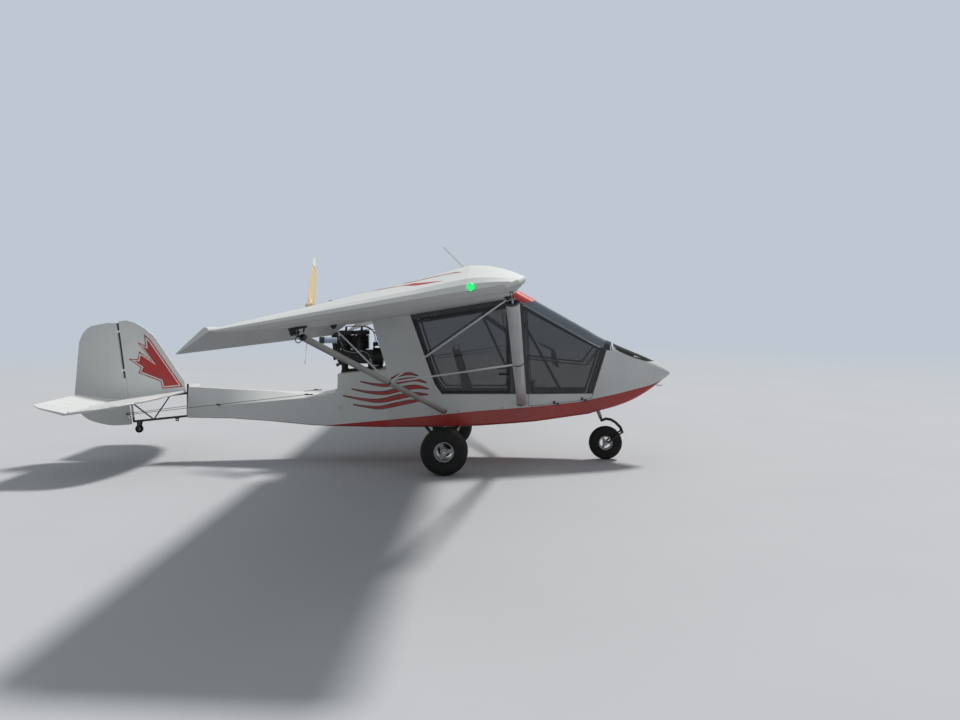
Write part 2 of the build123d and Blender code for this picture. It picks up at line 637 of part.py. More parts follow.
forks = []
for chord in (FRONT_SPAR, REAR_SPAR):
    gap, jury_gap = TONGUE_T + 2 * SEAT, 2 * JURY_R + 2 * SEAT
    forks.append(spar_fork(chord, HEAD_DROP, STRUT_HEAD_Y, gap, FORK_PIN_R, (0, 1, 0), aft_dir))
    forks.append(spar_fork(chord, JURY_DROP, f_mid[1], jury_gap, JURY_PIN_R, aft_dir, (0, -1, 0)))
forks += [mirrored(shape) for shape in forks]
nodes["strut_fittings"] = Compound(children=forks)

# Wheels


def wheel(radius, width, rim_r, hub_r, bore, spokes):
    """Tyre and rim about the Y axis; the rim has slots between its spokes."""
    tyre_face = Pos((radius + rim_r) / 2, 0) * Rectangle(radius - rim_r, width)
    tyre_face = fillet(tyre_face.vertices().sort_by(Axis.X)[-2:], width * 0.36)
    tyre_face = fillet(tyre_face.vertices().sort_by(Axis.X)[:2], width * 0.12)
    barrel_w = width * 0.62
    barrel = Pos(rim_r - 5.0, 0) * Rectangle(10.0, barrel_w)
    hub = Pos((bore + hub_r) / 2, 0) * Rectangle(hub_r - bore, barrel_w)
    web = Pos((hub_r + rim_r) / 2 - 3.0, 0) * Rectangle(rim_r - hub_r, 14.0)
    rim = revolve(barrel + hub + web, Axis.Y)
    ring = Circle(rim_r - 16.0) - Circle(hub_r + 4.0)
    reach = 2 * rim_r
    bar = Pos(reach / 2, 0) * Rectangle(reach, 0.42 * rim_r)
    for i in range(spokes):
        ring = ring - Rot(0, 0, 360.0 * i / spokes) * bar
    rim = rim - extrude(Plane.XZ.offset(-20.0) * ring, amount=40.0)
    return revolve(tyre_face, Axis.Y), rim


AXLE_R, AXLE_PLAY = 12.0, 0.08
SPOKES = 3
MAIN_X, MAIN_Y, MAIN_R, MAIN_W, MAIN_RIM_R = 786.0, 840.0, 221.5, 200.0, 94.0
NOSE_X, NOSE_R, NOSE_W, NOSE_RIM_R = 2396.0, 169.0, 100.0, 72.0
tyre, rim = wheel(MAIN_R, MAIN_W, MAIN_RIM_R, 34.0, AXLE_R + AXLE_PLAY, SPOKES)
both_sides("main_tyre", Pos(MAIN_X, MAIN_Y, MAIN_R) * tyre)
both_sides("main_rim", Pos(MAIN_X, MAIN_Y, MAIN_R) * rim)
tyre, rim = wheel(NOSE_R, NOSE_W, NOSE_RIM_R, 26.0, AXLE_R + AXLE_PLAY, SPOKES)
nodes["nose_tyre"] = Pos(NOSE_X, 0, NOSE_R) * tyre
nodes["nose_rim"] = Pos(NOSE_X, 0, NOSE_R) * rim

# Main gear legs: two tubes from the belly to each axle
LEG_R = 15.0
leg_in = MAIN_Y - MAIN_W / 2 - 22.0
hub_face = MAIN_W * 0.31 + 1.0


def axle_at(y):
    return (MAIN_X, y, MAIN_R)


leg = frame([((900.0, 270.0, 390.0), axle_at(leg_in)), ((560.0, 270.0, 387.0), axle_at(leg_in))], LEG_R)
leg = leg.fuse(
    tube(axle_at(leg_in - 15.0), axle_at(MAIN_Y + 80.0), AXLE_R),
    tube(axle_at(leg_in), axle_at(MAIN_Y - hub_face), 20.0),
    tube(axle_at(MAIN_Y + hub_face), axle_at(MAIN_Y + 80.0), 18.0),
)
nodes["main_gear_legs"] = pair(leg)

# Nose gear: a leg that curves forward over the tyre to a fork, with a tow bore through its axle
TOW_R = 6.0
FORK_Y = NOSE_W / 2 + 14.0
TOW_HALF = FORK_Y + 12.0
CROWN = (2566.0, 285.0)
LEG_CURVE = [(2357.0, 396.0), (2400.0, 413.0), (2452.0, 405.0), (2500.0, 375.0), (2548.0, 328.0), CROWN]
curve = [(x, 0.0, z) for x, z in LEG_CURVE]
fork = frame(list(zip(curve[:-1], curve[1:])), 14.0)
arms = [((CROWN[0], -FORK_Y, CROWN[1]), (CROWN[0], FORK_Y, CROWN[1]))]
arms += [((CROWN[0], s * FORK_Y, CROWN[1]), (NOSE_X, s * FORK_Y, NOSE_R)) for s in (-1, 1)]
fork = fork.fuse(
    frame(arms, 9.0),
    tube(STEER_LOW, along(STEER_LOW, STEER_HIGH, 0.8), STEM_R),
    tube(along(STEER_LOW, STEER_HIGH, 0.12), along(STEER_LOW, STEER_HIGH, 0.21), 17.0),
    tube((NOSE_X, -TOW_HALF, NOSE_R), (NOSE_X, TOW_HALF, NOSE_R), AXLE_R),
)
nodes["nose_fork"] = fork.cut(tube((NOSE_X, -TOW_HALF, NOSE_R), (NOSE_X, TOW_HALF, NOSE_R), TOW_R))

# Fin and rudder on a hinge line that leans aft
TAIL_T = 20.0
RUDDER_LOW, RUDDER_HIGH = (-2474.0, 0.0, 357.0), (-2616.0, 0.0, 1394.0)
RUDDER_R = 12.0
RUDDER_HINGES = (75.0, 560.0, 960.0)
POST_SHIFT = 34.0
FIN_BACK = RUDDER_R + RUN_GAP
TP_LE_X, TP_LE_Z, TP_TE_X, TP_TE_Z = -1910.0, 696.0, -2562.0, 613.0
TP_SLOPE = (TP_LE_Z - TP_TE_Z) / (TP_LE_X - TP_TE_X)
hinge_lean = (RUDDER_LOW[0] - RUDDER_HIGH[0]) / (RUDDER_HIGH[2] - RUDDER_LOW[2])


def hinge_x(z, shift=0.0):
    """The rudder hinge line at a height, moved forward by a shift."""
    return RUDDER_LOW[0] - (z - RUDDER_LOW[2]) * hinge_lean + shift


def tp_z(x, shift=0.0):
    """The tailplane's middle at x, moved up by a shift."""
    return TP_LE_Z + (x - TP_LE_X) * TP_SLOPE + shift


RUDDER = [(hinge_x(357.0), 357.0), (-2660.0, 345.0), (-2900.0, 400.0), (-3010.0, 500.0), (-3050.0, 650.0)]
RUDDER += [(-3004.0, 1200.0), (-2960.0, 1300.0), (-2880.0, 1365.0), (-2720.0, 1396.0)]
RUDDER += [(hinge_x(1394.0), 1394.0)]
rudder = plate(RUDDER, TAIL_T - 2.0).fuse(tube(RUDDER_LOW, RUDDER_HIGH, RUDDER_R))
post_run = (1, 0, hinge_lean)
rudder_plane = Plane(origin=RUDDER_LOW, x_dir=post_run, z_dir=Vector(*RUDDER_HIGH) - Vector(*RUDDER_LOW))
nodes["rudder"] = notches(rudder, rudder_plane, RUDDER_R, RUDDER_HINGES)

fin_foot = hinge_x(650.0, FIN_BACK)
FIN = [(-1912.0, tp_z(-1912.0, TAIL_T / 2)), (-1925.0, 794.0), (-2252.0, 1279.0), (-2423.0, 1396.0)]
FIN += [(-2515.0, 1423.0), (hinge_x(1412.0, FIN_BACK), 1412.0), (fin_foot, tp_z(fin_foot, TAIL_T / 2))]
fin = plate(FIN, TAIL_T)
for s in RUDDER_HINGES[1:]:
    fin = fin.fuse(lug(RUDDER_LOW, RUDDER_HIGH, s, FIN_BACK + 8.0, post_run))

# Tailplane and elevators; at rest the elevators are up
PLAN = [(TP_LE_X, 0.0), (-1950.0, 500.0), (-2060.0, 900.0), (-2200.0, 1100.0), (-2390.0, 1205.0)]
PLAN += [(TP_TE_X, 1225.0), (TP_TE_X, 122.0), (-2440.0, 60.0), (-2440.0, 0.0)]
EL_R = 11.0
EL_CHORD = 320.0
EL_UP = math.radians(14.0)
EL_HINGES = (110.0, 560.0, 1010.0)
stretch = math.sqrt(1 + TP_SLOPE**2)
tp_plane = Plane((0, 0, tp_z(0.0, -TAIL_T / 2)), x_dir=(1, 0, TP_SLOPE), z_dir=(-TP_SLOPE, 0, 1))
half_tail = extrude(tp_plane * outline([(x * stretch, y) for x, y in PLAN]), amount=TAIL_T)
tailplane = half_tail.fuse(mirrored(half_tail))
el_x, el_z = TP_TE_X - RUN_GAP - EL_R, TP_TE_Z - 2.0
el_p, el_q = (el_x, 128.0, el_z), (el_x, 1220.0, el_z)
elevator = flap(el_p, el_q, EL_CHORD, EL_R, (-math.cos(EL_UP), 0, math.sin(EL_UP)), EL_HINGES)
root_cut = [(el_x - 20.0, 100.0), (el_x - 20.0, 130.0), (el_x - 340.0, 275.0), (el_x - 340.0, 100.0)]
root_cut = flat(root_cut, 500.0, 800.0)
tip_cut = flat([(el_x - 220.0, 1230.0), (el_x - 340.0, 1230.0), (el_x - 340.0, 1120.0)], 500.0, 800.0)
nodes["elevators"] = pair(elevator.cut(root_cut, tip_cut))
for s in EL_HINGES:
    ear = lug(el_p, el_q, s, EL_R + RUN_GAP + 8.0, (1, 0, TP_SLOPE))
    tailplane = tailplane.fuse(ear, mirrored(ear))
nodes["tailplane"] = tailplane
nodes["fin"] = fin.cut(tailplane)

# Open tail frame under the tailplane: posts, longerons, braces, tie-down eye and bumper wheel's bracket
FRAME_R = 11.0
BRACE_X = -2240.0
EYE_X, EYE_Z, EYE_R, EYE_T = -2000.0, 405.0, 7.0, 6.0
TW_X, TW_Z, TW_R, TW_W = -2389.0, 310.0, 40.0, 30.0
TW_PIN_R = 5.0
front_x = BOOM_STATIONS[-1][0] - FRAME_R - SEAT
keel_z = 442.0
post_low = (hinge_x(385.0, POST_SHIFT), 0.0, 385.0)
post_high = (hinge_x(600.0, POST_SHIFT), 0.0, tp_z(hinge_x(600.0, POST_SHIFT), -TAIL_T / 2 - FRAME_R))
front_high = (front_x, 0.0, tp_z(front_x, -TAIL_T / 2 - FRAME_R))
tail_bars = [((front_x, 0.0, keel_z), (front_x, 0.0, 762.0)), ((front_x, 0.0, keel_z), post_low)]
tail_bars += [(post_low, post_high), (front_high, post_high)]
tail_frame = frame(tail_bars, FRAME_R)
tail_frame = tail_frame.fuse(lug(RUDDER_LOW, RUDDER_HIGH, RUDDER_HINGES[0], POST_SHIFT, post_run))


def keel_at(x):
    """Height of the lower longeron at x."""
    return keel_z + (post_low[2] - keel_z) * (x - front_x) / (post_low[0] - front_x)


for s in (-1, 1):
    brace = tube((BRACE_X, 0.0, keel_at(BRACE_X)), (BRACE_X, s * 560.0, tp_z(BRACE_X, -TAIL_T / 2 - 2.0)), 7.0)
    tail_frame = tail_frame.fuse(brace)
cheek = [(TW_X - 20.0, 400.0), (TW_X + 30.0, 400.0), (TW_X + 10.0, TW_Z - 8.0), (TW_X - 10.0, TW_Z - 8.0)]
cheek = prism(cheek, 22.0, 26.0)
saddle = Pos(TW_X + 5.0, 0, 392.0) * Box(50.0, 52.0, 16.0)
eye = plate([(EYE_X - 24.0, 440.0), (EYE_X + 24.0, 440.0), (EYE_X + 14.0, 388.0), (EYE_X - 14.0, 388.0)], EYE_T)
eye = eye.cut(tube((EYE_X, -10.0, EYE_Z), (EYE_X, 10.0, EYE_Z), EYE_R))
pin = tube((TW_X, -26.0, TW_Z), (TW_X, 26.0, TW_Z), TW_PIN_R)
tail_frame = tail_frame.fuse(cheek, mirrored(cheek), saddle, pin, eye)
nodes["tail_frame"] = biggest(tail_frame.cut(tailplane))
tread = Pos((TW_R + TW_PIN_R + AXLE_PLAY) / 2, 0) * Rectangle(TW_R - TW_PIN_R - AXLE_PLAY, TW_W)
tread = fillet(tread.vertices().sort_by(Axis.X)[-2:], 10.0)
nodes["tail_wheel"] = Pos(TW_X, 0, TW_Z) * revolve(tread, Axis.Y)

# Open engine: an upright air-cooled twin on rails over the deck
CASE_X0, CASE_X1 = -342.0, 28.0
CASE_LOW, CASE_HIGH, CASE_HALF = 985.0, 1120.0, 84.0
CYLINDERS_X = (-265.0, -105.0)
FIN_COUNT, FIN_PITCH, FIN_T = 8, 17.5, 4.0
FIN_LONG, FIN_WIDE = 146.0, 168.0
BARREL_R, BARREL_H = 46.0, 162.0
HEAD_H, PLUG_R, PLUG_H = 36.0, 9.0, 34.0
HEAD_RIBS = (-66.0, -44.0, -22.0, 22.0, 44.0, 66.0)
RAIL_Y, RAIL_W, RAIL_H = 70.0, 34.0, 22.0
RAIL_X = (DECK_BACK + 6.0, 100.0)
MOUNTS_X = (RAIL_X[0] + 24.0, CASE_X1 - 38.0)
MOUNT_R = 22.0
BRACKET_T = 6.0
CRANK_Z = 1052.0
DRUM_R, DRUM_X1 = 90.0, 112.0
VENTS = 12

case_low = [(CASE_X1 - 30.0, CASE_LOW), (CASE_X0 + 30.0, CASE_LOW)]
case = [(CASE_X0, CASE_LOW + 24.0), (CASE_X0, CASE_HIGH), (CASE_X1, CASE_HIGH), (CASE_X1, CASE_LOW + 24.0)]
case = outline(case + case_low)
engine = side_slab(fillet(case.vertices(), 10.0), -CASE_HALF, CASE_HALF)
seam = Rectangle(CASE_X1 - CASE_X0 + 6.0, 2 * CASE_HALF + 16.0)
seam = Plane(((CASE_X0 + CASE_X1) / 2 - 3.0, 0, CRANK_Z - 6.0)) * seam
engine = engine.fuse(extrude(seam, amount=12.0))
for x in CYLINDERS_X:
    barrel = Pos(x, 0, CASE_HIGH + BARREL_H / 2) * Cylinder(BARREL_R, BARREL_H)
    fin_face = RectangleRounded(FIN_LONG, FIN_WIDE, 26.0)
    fin_z = [CASE_HIGH + 14.0 + FIN_PITCH * k for k in range(FIN_COUNT)]
    fins = [extrude(Plane((x, 0, z)) * fin_face, amount=FIN_T) for z in fin_z]
    head_z = CASE_HIGH + BARREL_H
    head_face = RectangleRounded(0.62 * FIN_LONG, 0.62 * FIN_WIDE, 20.0)
    head = extrude(Plane((x, 0, head_z)) * head_face, amount=HEAD_H)
    ribs = [Pos(x, y, head_z + HEAD_H / 2) * Box(FIN_LONG - 6.0, FIN_T, HEAD_H) for y in HEAD_RIBS]
    base = extrude(Plane((x, 0, head_z - 4.0)) * fin_face, amount=8.0)
    plug = Pos(x, 0, head_z + HEAD_H + PLUG_H / 2 - 1.0) * Cylinder(PLUG_R, PLUG_H)
    engine = engine.fuse(barrel, *fins, head, base, *ribs, plug)

# Fan drum with slotted face, ahead of the crankcase
drum = tube((CASE_X1 - 2.0, 0, CRANK_Z), (DRUM_X1, 0, CRANK_Z), DRUM_R)
for i in range(VENTS):
    turn = Pos(DRUM_X1, 0, CRANK_Z) * Rot(360.0 * i / VENTS, 0, 0)
    drum = drum.cut(turn * Pos(0, 0.62 * DRUM_R, 0) * Box(24.0, 0.46 * DRUM_R, 11.0))
engine = engine.fuse(drum)

# Carburettors to starboard: a body across, a bowl below, a domed cap above
CARB_Z, CARB_Y = 1178.0, -150.0
for x in CYLINDERS_X:
    engine = engine.fuse(
        tube((x, -60.0, CARB_Z), (x, CARB_Y - 26.0, CARB_Z), 21.0),
        tube((x, CARB_Y, CARB_Z - 58.0), (x, CARB_Y, CARB_Z + 46.0), 23.0),
        ball((x, CARB_Y, CARB_Z + 46.0), 22.5),
    )

# Rails on the deck with a rubber bush under each corner and an open bracket in front
rail = [(x, deck_top(x) + SEAT) for x in RAIL_X] + [(x, deck_top(x) + RAIL_H) for x in reversed(RAIL_X)]
rail_front = deck_top(RAIL_X[1]) + RAIL_H - 2.0
bracket = [(RAIL_X[1], rail_front), (RAIL_X[1] - 62.0, rail_front), (CASE_X1 - 8.0, CASE_LOW + 60.0)]
bracket += [(CASE_X1 + 24.0, CASE_LOW + 40.0)]
for y in (-RAIL_Y, RAIL_Y):
    engine = engine.fuse(prism(rail, y - RAIL_W / 2, y + RAIL_W / 2))
    web = side_slab(outline(bracket) - grown(bracket, -9.0), y - BRACKET_T / 2, y + BRACKET_T / 2)
    engine = engine.fuse(web)
    for x in MOUNTS_X:
        engine = engine.fuse(tube((x, y, deck_top(x) + RAIL_H - 4.0), (x, y, CASE_LOW + 30.0), MOUNT_R))
nodes["engine"] = engine

# Air filter canister behind the rear carburettor, its cap and its elbow
FILTER_Y, FILTER_Z, FILTER_R = -165.0, 1226.0, 30.0
FILTER = [(-505.0, 35.0), (-458.0, 35.0), (-458.0, 24.0), (-452.0, 24.0)]
FILTER += [(-452.0, FILTER_R), (-322.0, FILTER_R)]
canister = []
for (x0, r), (x1, _) in zip(FILTER[:-1:2], FILTER[1::2]):
    canister.append(tube((x0, FILTER_Y, FILTER_Z), (x1 + 1.0, FILTER_Y, FILTER_Z), r))
elbow = [(-330.0, FILTER_Y, FILTER_Z), (-290.0, FILTER_Y, FILTER_Z), (-266.0, CARB_Y - 24.0, CARB_Z)]
intake = canister[0].fuse(*canister[1:], frame([elbow[0:2], elbow[1:3]], 15.0))
nodes["intake"] = biggest(intake.cut(engine))

# Exhaust to port: two bent pipes into a hollow muffler with an open tail pipe
MUFFLER_AT, MUFFLER_R, MUFFLER_L, MUFFLER_WALL = (-150.0, 205.0, 1035.0), 56.0, 380.0, 4.0
muffler = Pos(*MUFFLER_AT) * Rot(0, 90, 0) * Cylinder(MUFFLER_R, MUFFLER_L)
cap = Pos(*MUFFLER_AT) * Rot(0, 90, 0) * Cylinder(MUFFLER_R + 3.0, 6.0)
ends = [Pos(s * MUFFLER_L / 2, 0, 0) * cap for s in (-1, 1)]
pipes = []
for x in CYLINDERS_X:
    pipes += [((x, 60.0, CARB_Z), (x, 150.0, CARB_Z)), ((x, 150.0, CARB_Z), (x, 195.0, 1060.0))]
tail_start, tail_end = (-300.0, 205.0, 1010.0), (-400.0, 205.0, 945.0)
tail_pipe = tube(tail_start, tail_end, 17.0)
room = Pos(*MUFFLER_AT) * Rot(0, 90, 0) * Cylinder(MUFFLER_R - MUFFLER_WALL, MUFFLER_L - 2 * MUFFLER_WALL)
tail_bore = tube(tail_start, along(tail_start, tail_end, 1.01), 14.0)
nodes["exhaust"] = biggest(muffler.fuse(*ends, frame(pipes, 17.0), tail_pipe).cut(room, tail_bore, engine))

# Belt reduction behind the engine: a back plate, two pulleys, the belt and the shaft's bearing tube
TILT = math.radians(5.0)
SHAFT_X, SHAFT_Z = -598.0, 1553.0
BIG_PULLEY_R, SMALL_PULLEY_R, BELT_W = 60.0, 32.0, 34.0
BELT_AT, PLATE_T = -198.0, 10.0
SHAFT_R, STUB_R, STUB_PLAY = 30.0, 14.0, 0.1
aft = Vector(-math.cos(TILT), 0, -math.sin(TILT))
PULLEY_DROP = (SHAFT_Z - BELT_AT * math.sin(TILT) - CRANK_Z) / math.cos(TILT)


def shaft_plane(distance):
    """A plane across the propeller shaft, the distance aft of its bearing; its Y is up."""
    return Plane(Vector(SHAFT_X, 0, SHAFT_Z) + aft * distance, x_dir=(0, -1, 0), z_dir=aft)


def on_shaft(distance, sketch, amount):
    return extrude(shaft_plane(distance) * sketch, amount=amount)


low = Pos(0, -PULLEY_DROP)
belt = make_hull((Circle(BIG_PULLEY_R).edges() + (low * Circle(SMALL_PULLEY_R)).edges()))
mount_plate = make_hull((Circle(46.0).edges() + (low * Circle(74.0)).edges()))
drive = on_shaft(BELT_AT - 12.0 - PLATE_T, mount_plate, PLATE_T)
windows = [Pos(0, -PULLEY_DROP * t) * Circle(17.0) for t in (0.28, 0.44, 0.60)]
for window in windows:
    drive = drive.cut(on_shaft(BELT_AT - 13.0 - PLATE_T, window, PLATE_T + 2.0))
drive = drive.fuse(
    on_shaft(BELT_AT, belt - offset(belt, -7.0), BELT_W),
    on_shaft(BELT_AT - 3.0, low * Circle(SMALL_PULLEY_R - 5.0), BELT_W + 6.0),
    on_shaft(BELT_AT - 4.0, low * Circle(SMALL_PULLEY_R + 5.0), 4.0),
    on_shaft(BELT_AT + BELT_W, low * Circle(SMALL_PULLEY_R + 5.0), 4.0),
    on_shaft(BELT_AT - 60.0, low * Circle(20.0), 64.0),
    on_shaft(BELT_AT + 10.0, Circle(BIG_PULLEY_R - 5.0), 12.0),
    on_shaft(BELT_AT, Circle(BIG_PULLEY_R - 4.0) - Circle(BIG_PULLEY_R - 16.0), BELT_W),
    on_shaft(BELT_AT - 14.0, Circle(SHAFT_R), 12.0 - BELT_AT),
    on_shaft(-3.0, Circle(STUB_R - STUB_PLAY), 43.0),
)
for k in range(6):
    turn = Rot(0, 0, 60.0 * k) * Pos(0, 42.0)
    drive = drive.cut(on_shaft(BELT_AT + 5.0, turn * Circle(6.5), 24.0))
brace_foot = wing_point(WING_CHORD, 19.0, 0.0)
for y in (-90.0, 90.0):
    brace_end = Vector(SHAFT_X, 0, SHAFT_Z) + aft * -40.0
    drive = drive.fuse(tube((brace_foot[0] - SEAT, y, brace_foot[2]), tuple(brace_end), 9.0))
nodes["reduction_drive"] = biggest(drive.cut(centre, engine))

# Propeller: two twisted wooden blades, parked across the slipstream
# Columns: radius, chord, thickness, pitch in degrees
BLADE = [(40.0, 74.0, 40.0, 42.0), (220.0, 108.0, 24.0, 28.0)]
BLADE += [(480.0, 104.0, 14.0, 17.0), (710.0, 56.0, 8.0, 11.0)]
HUB_R, HUB_L = 62.0, 70.0
PARK = math.radians(42.0)
bore = Circle(STUB_R)
prop = on_shaft(1.0, Circle(HUB_R) - bore, 41.0).fuse(on_shaft(42.0, Circle(HUB_R), HUB_L - 41.0))
for turn in (0.0, math.pi):
    a = PARK + turn
    radial = Vector(-math.sin(TILT) * math.cos(a), math.sin(a), math.cos(TILT) * math.cos(a))
    side = radial.cross(aft)
    middle = Vector(SHAFT_X, 0, SHAFT_Z) + aft * (1.0 + HUB_L / 2)
    faces = []
    for r, chord, thick, pitch in BLADE:
        chord_dir = side * math.cos(math.radians(pitch)) + aft * math.sin(math.radians(pitch))
        faces.append(Plane(middle + radial * r, x_dir=chord_dir, z_dir=radial) * lens(chord, thick))
    blade = loft(faces)
    prop = prop.fuse(blade.cut(on_shaft(1.0, bore, 41.0)))
nodes["propeller"] = prop

# Whip aerial on the centre section
AERIAL_CHORD, AERIAL_R, AERIAL_RUN = 235.0, 4.0, 430.0
foot = wing_point(AERIAL_CHORD, CREST_H - 6.0, 0.0)
nodes["aerial"] = biggest(tube(foot, (foot[0] - AERIAL_RUN, 0.0, foot[2] + AERIAL_RUN), AERIAL_R).cut(centre))

os.makedirs("parts", exist_ok=True)
for name, shape in nodes.items():
    whole = shape if isinstance(shape, Compound) else Compound(children=[shape])
    export_step(whole, f"parts/{name}.step")
    print(name, len(whole.solids()), round(whole.volume / 1e6, 2))
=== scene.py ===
import json
import math

import bmesh
import bpy
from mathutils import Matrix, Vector
from mathutils.bvhtree import BVHTree


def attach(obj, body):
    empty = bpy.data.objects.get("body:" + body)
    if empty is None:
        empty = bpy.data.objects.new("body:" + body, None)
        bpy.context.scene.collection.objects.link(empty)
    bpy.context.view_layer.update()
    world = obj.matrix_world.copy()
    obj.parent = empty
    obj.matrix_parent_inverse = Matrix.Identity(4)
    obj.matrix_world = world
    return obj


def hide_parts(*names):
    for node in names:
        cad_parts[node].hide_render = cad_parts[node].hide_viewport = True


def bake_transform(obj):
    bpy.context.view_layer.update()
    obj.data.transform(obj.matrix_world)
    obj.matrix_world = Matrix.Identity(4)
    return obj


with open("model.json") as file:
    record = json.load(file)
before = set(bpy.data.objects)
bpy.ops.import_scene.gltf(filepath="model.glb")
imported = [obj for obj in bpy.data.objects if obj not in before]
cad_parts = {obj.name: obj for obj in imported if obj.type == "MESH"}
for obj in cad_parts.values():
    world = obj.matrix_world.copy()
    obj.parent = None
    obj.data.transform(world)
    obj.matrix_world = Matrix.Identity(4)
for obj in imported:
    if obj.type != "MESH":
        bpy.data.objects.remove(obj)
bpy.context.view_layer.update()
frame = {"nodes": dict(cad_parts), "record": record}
nodes = frame["nodes"]
scene = bpy.context.scene
scene.view_settings.view_transform = "Standard"


# Camera: abeam the cabin on the starboard side, level, its frame shifted down to the ground

EYE = (1.232, -9.16, 1.632)
camera = bpy.data.cameras.new("photo_camera")
camera.lens, camera.sensor_width = 33.45, 36.0
camera.shift_x, camera.shift_y = -0.0125, -0.0625
camera.clip_end = 300.0
camera_object = bpy.data.objects.new("photo_camera", camera)
camera_object.location = EYE
camera_object.rotation_euler = (math.radians(90.0), 0.0, 0.0)
scene.collection.objects.link(camera_object)
scene.camera = camera_object


# Materials


def srgb(r, g, b):
    """A colour as it looks on a screen, 0 to 255, in linear light."""
    linear = [c / 255 / 12.92 if c < 10.3 else ((c / 255 + 0.055) / 1.055) ** 2.4 for c in (r, g, b)]
    return (*linear, 1.0)


def shade(colour, factor):
    return tuple(min(1.0, c * factor) for c in colour[:3]) + (1.0,)


class Shader:
    """A Principled material and the nodes that feed it."""

    def __init__(self, name, **values):
        self.material = bpy.data.materials.new(name)
        self.material.use_nodes = True
        self.tree = self.material.node_tree
        self.bsdf = self.tree.nodes["Principled BSDF"]
        for key, value in values.items():
            self.bsdf.inputs[key.replace("_", " ")].default_value = value

    def node(self, kind, *sockets, **settings):
        """A node; its first inputs take sockets or values, None leaves one as it is."""
        made = self.tree.nodes.new("ShaderNode" + kind)
        for key, value in settings.items():
            setattr(made, key, value)
        for place, value in zip(made.inputs, sockets):
            if isinstance(value, bpy.types.NodeSocket):
                self.tree.links.new(value, place)
            elif value is not None:
                place.default_value = value
        return made.outputs[0]

    def math(self, operation, *sockets):
        return self.node("Math", *sockets, operation=operation)

    def place(self):
        """The point of the surface in the row frame."""
        return self.node("TexCoord").node.outputs["Object"]

    def axis(self, letter):
        return self.node("SeparateXYZ", self.place()).node.outputs[letter]

    def facing(self, letter):
        normal = self.node("TexCoord").node.outputs["Normal"]
        return self.node("SeparateXYZ", normal).node.outputs[letter]

    def line(self, x, slope, offset):
        """A straight line: slope times x, plus the offset."""
        return self.math("MULTIPLY_ADD", x, slope, offset)

    def above(self, value, limit):
        return self.math("GREATER_THAN", value, limit)

    def both(self, *masks):
        made = masks[0]
        for mask in masks[1:]:
            made = self.math("MULTIPLY", made, mask)
        return made

    def either(self, a, b):
        return self.math("MAXIMUM", a, b)

    def noise(self, scale, detail=3.0):
        return self.node("TexNoise", self.place(), None, scale, detail)

    def ramp(self, factor, *stops):
        """Colour stops: (position, colour)."""
        made = self.node("ValToRGB", factor).node
        ramp = made.color_ramp
        while len(ramp.elements) < len(stops):
            ramp.elements.new(0.5)
        for element, (position, colour) in zip(ramp.elements, stops):
            element.position, element.color = position, colour
        return made.outputs[0]

    def blend(self, factor, a, b):
        made = self.node("Mix", factor, data_type="RGBA").node
        for key, value in (("A", a), ("B", b)):
            socket = [s for s in made.inputs if s.name == key and s.type == "RGBA"][0]
            if isinstance(value, bpy.types.NodeSocket):
                self.tree.links.new(value, socket)
            else:
                socket.default_value = value
        return [s for s in made.outputs if s.type == "RGBA"][0]

    def colour(self, socket):
        self.tree.links.new(socket, self.bsdf.inputs["Base Color"])
        return self

    def rough(self, socket, low, high):
        made = self.node("MapRange", socket, 0.0, 1.0, low, high)
        self.tree.links.new(made, self.bsdf.inputs["Roughness"])
        return self

    def bump(self, height, strength, distance):
        made = self.tree.nodes.new("ShaderNodeBump")
        made.inputs["Strength"].default_value = strength
        made.inputs["Distance"].default_value = distance
        self.tree.links.new(height, made.inputs["Height"])
        self.tree.links.new(made.outputs[0], self.bsdf.inputs["Normal"])
        return self


WHITE, GREY_WHITE = srgb(232, 233, 231), srgb(216, 218, 217)
RED, DEEP_RED = srgb(192, 42, 36), srgb(172, 35, 31)
BLACK, SOFT_BLACK = srgb(26, 27, 29), srgb(40, 41, 43)


def paint(name, light, dark, zones=(), roughness=0.28, coat=0.5):
    """Sprayed paint: slow shifts of tone, fine orange peel, dust low down; zones picks other colours."""
    made = Shader(name, Coat_Weight=coat, Coat_Roughness=0.12)
    tone = made.ramp(made.noise(1.7, 5.0), (0.32, dark), (0.62, light))
    for pick, colour in zones:
        patch = made.ramp(made.noise(24.0, 4.0), (0.3, colour), (0.8, shade(colour, 1.5)))
        tone = made.blend(pick(made), tone, patch)
    near_ground = made.node("MapRange", made.axis("Z"), 0.9, 0.35, 0.0, 0.22)
    dust = made.math("MULTIPLY", made.noise(6.0, 6.0), near_ground)
    made.colour(made.blend(dust, tone, srgb(150, 142, 128)))
    made.rough(made.noise(9.0, 4.0), roughness - 0.06, roughness + 0.14)
    return made.bump(made.noise(420.0, 2.0), 0.05, 0.001)


def inner_faces_painted_shade(made):
    """The inside of the pod: faces that look towards the middle; black there is painted shade inside the
    cabin.
    """
    return made.math("LESS_THAN", made.math("MULTIPLY", made.axis("Y"), made.facing("Y")), -0.01)


def strap_zone(made):
    """The door hinges, which stand proud of the pod's side."""
    x, y = made.axis("X"), made.math("ABSOLUTE", made.axis("Y"))
    proud = made.math("GREATER_THAN", y, made.line(x, -0.0745, 0.44695))
    return made.both(proud, made.above(x, 1.80), made.above(2.20, x))


def window_zone(made):
    """The black surround of the windows, from the sill up and between the slanting ends."""
    x, z = made.axis("X"), made.axis("Z")
    back = made.math("MAXIMUM", made.line(z, -0.355, 0.947), made.line(z, -0.71, 1.231))
    front = made.line(z, 0.3136, 2.018)
    return made.both(made.above(z, 0.700), made.above(x, back), made.above(front, x))


def white_post(made):
    """The tail frame's rear post, beside the rudder's foot."""
    return made.both(hinge_post(made, 0.018, 0.05), made.above(made.axis("Z"), 0.43))


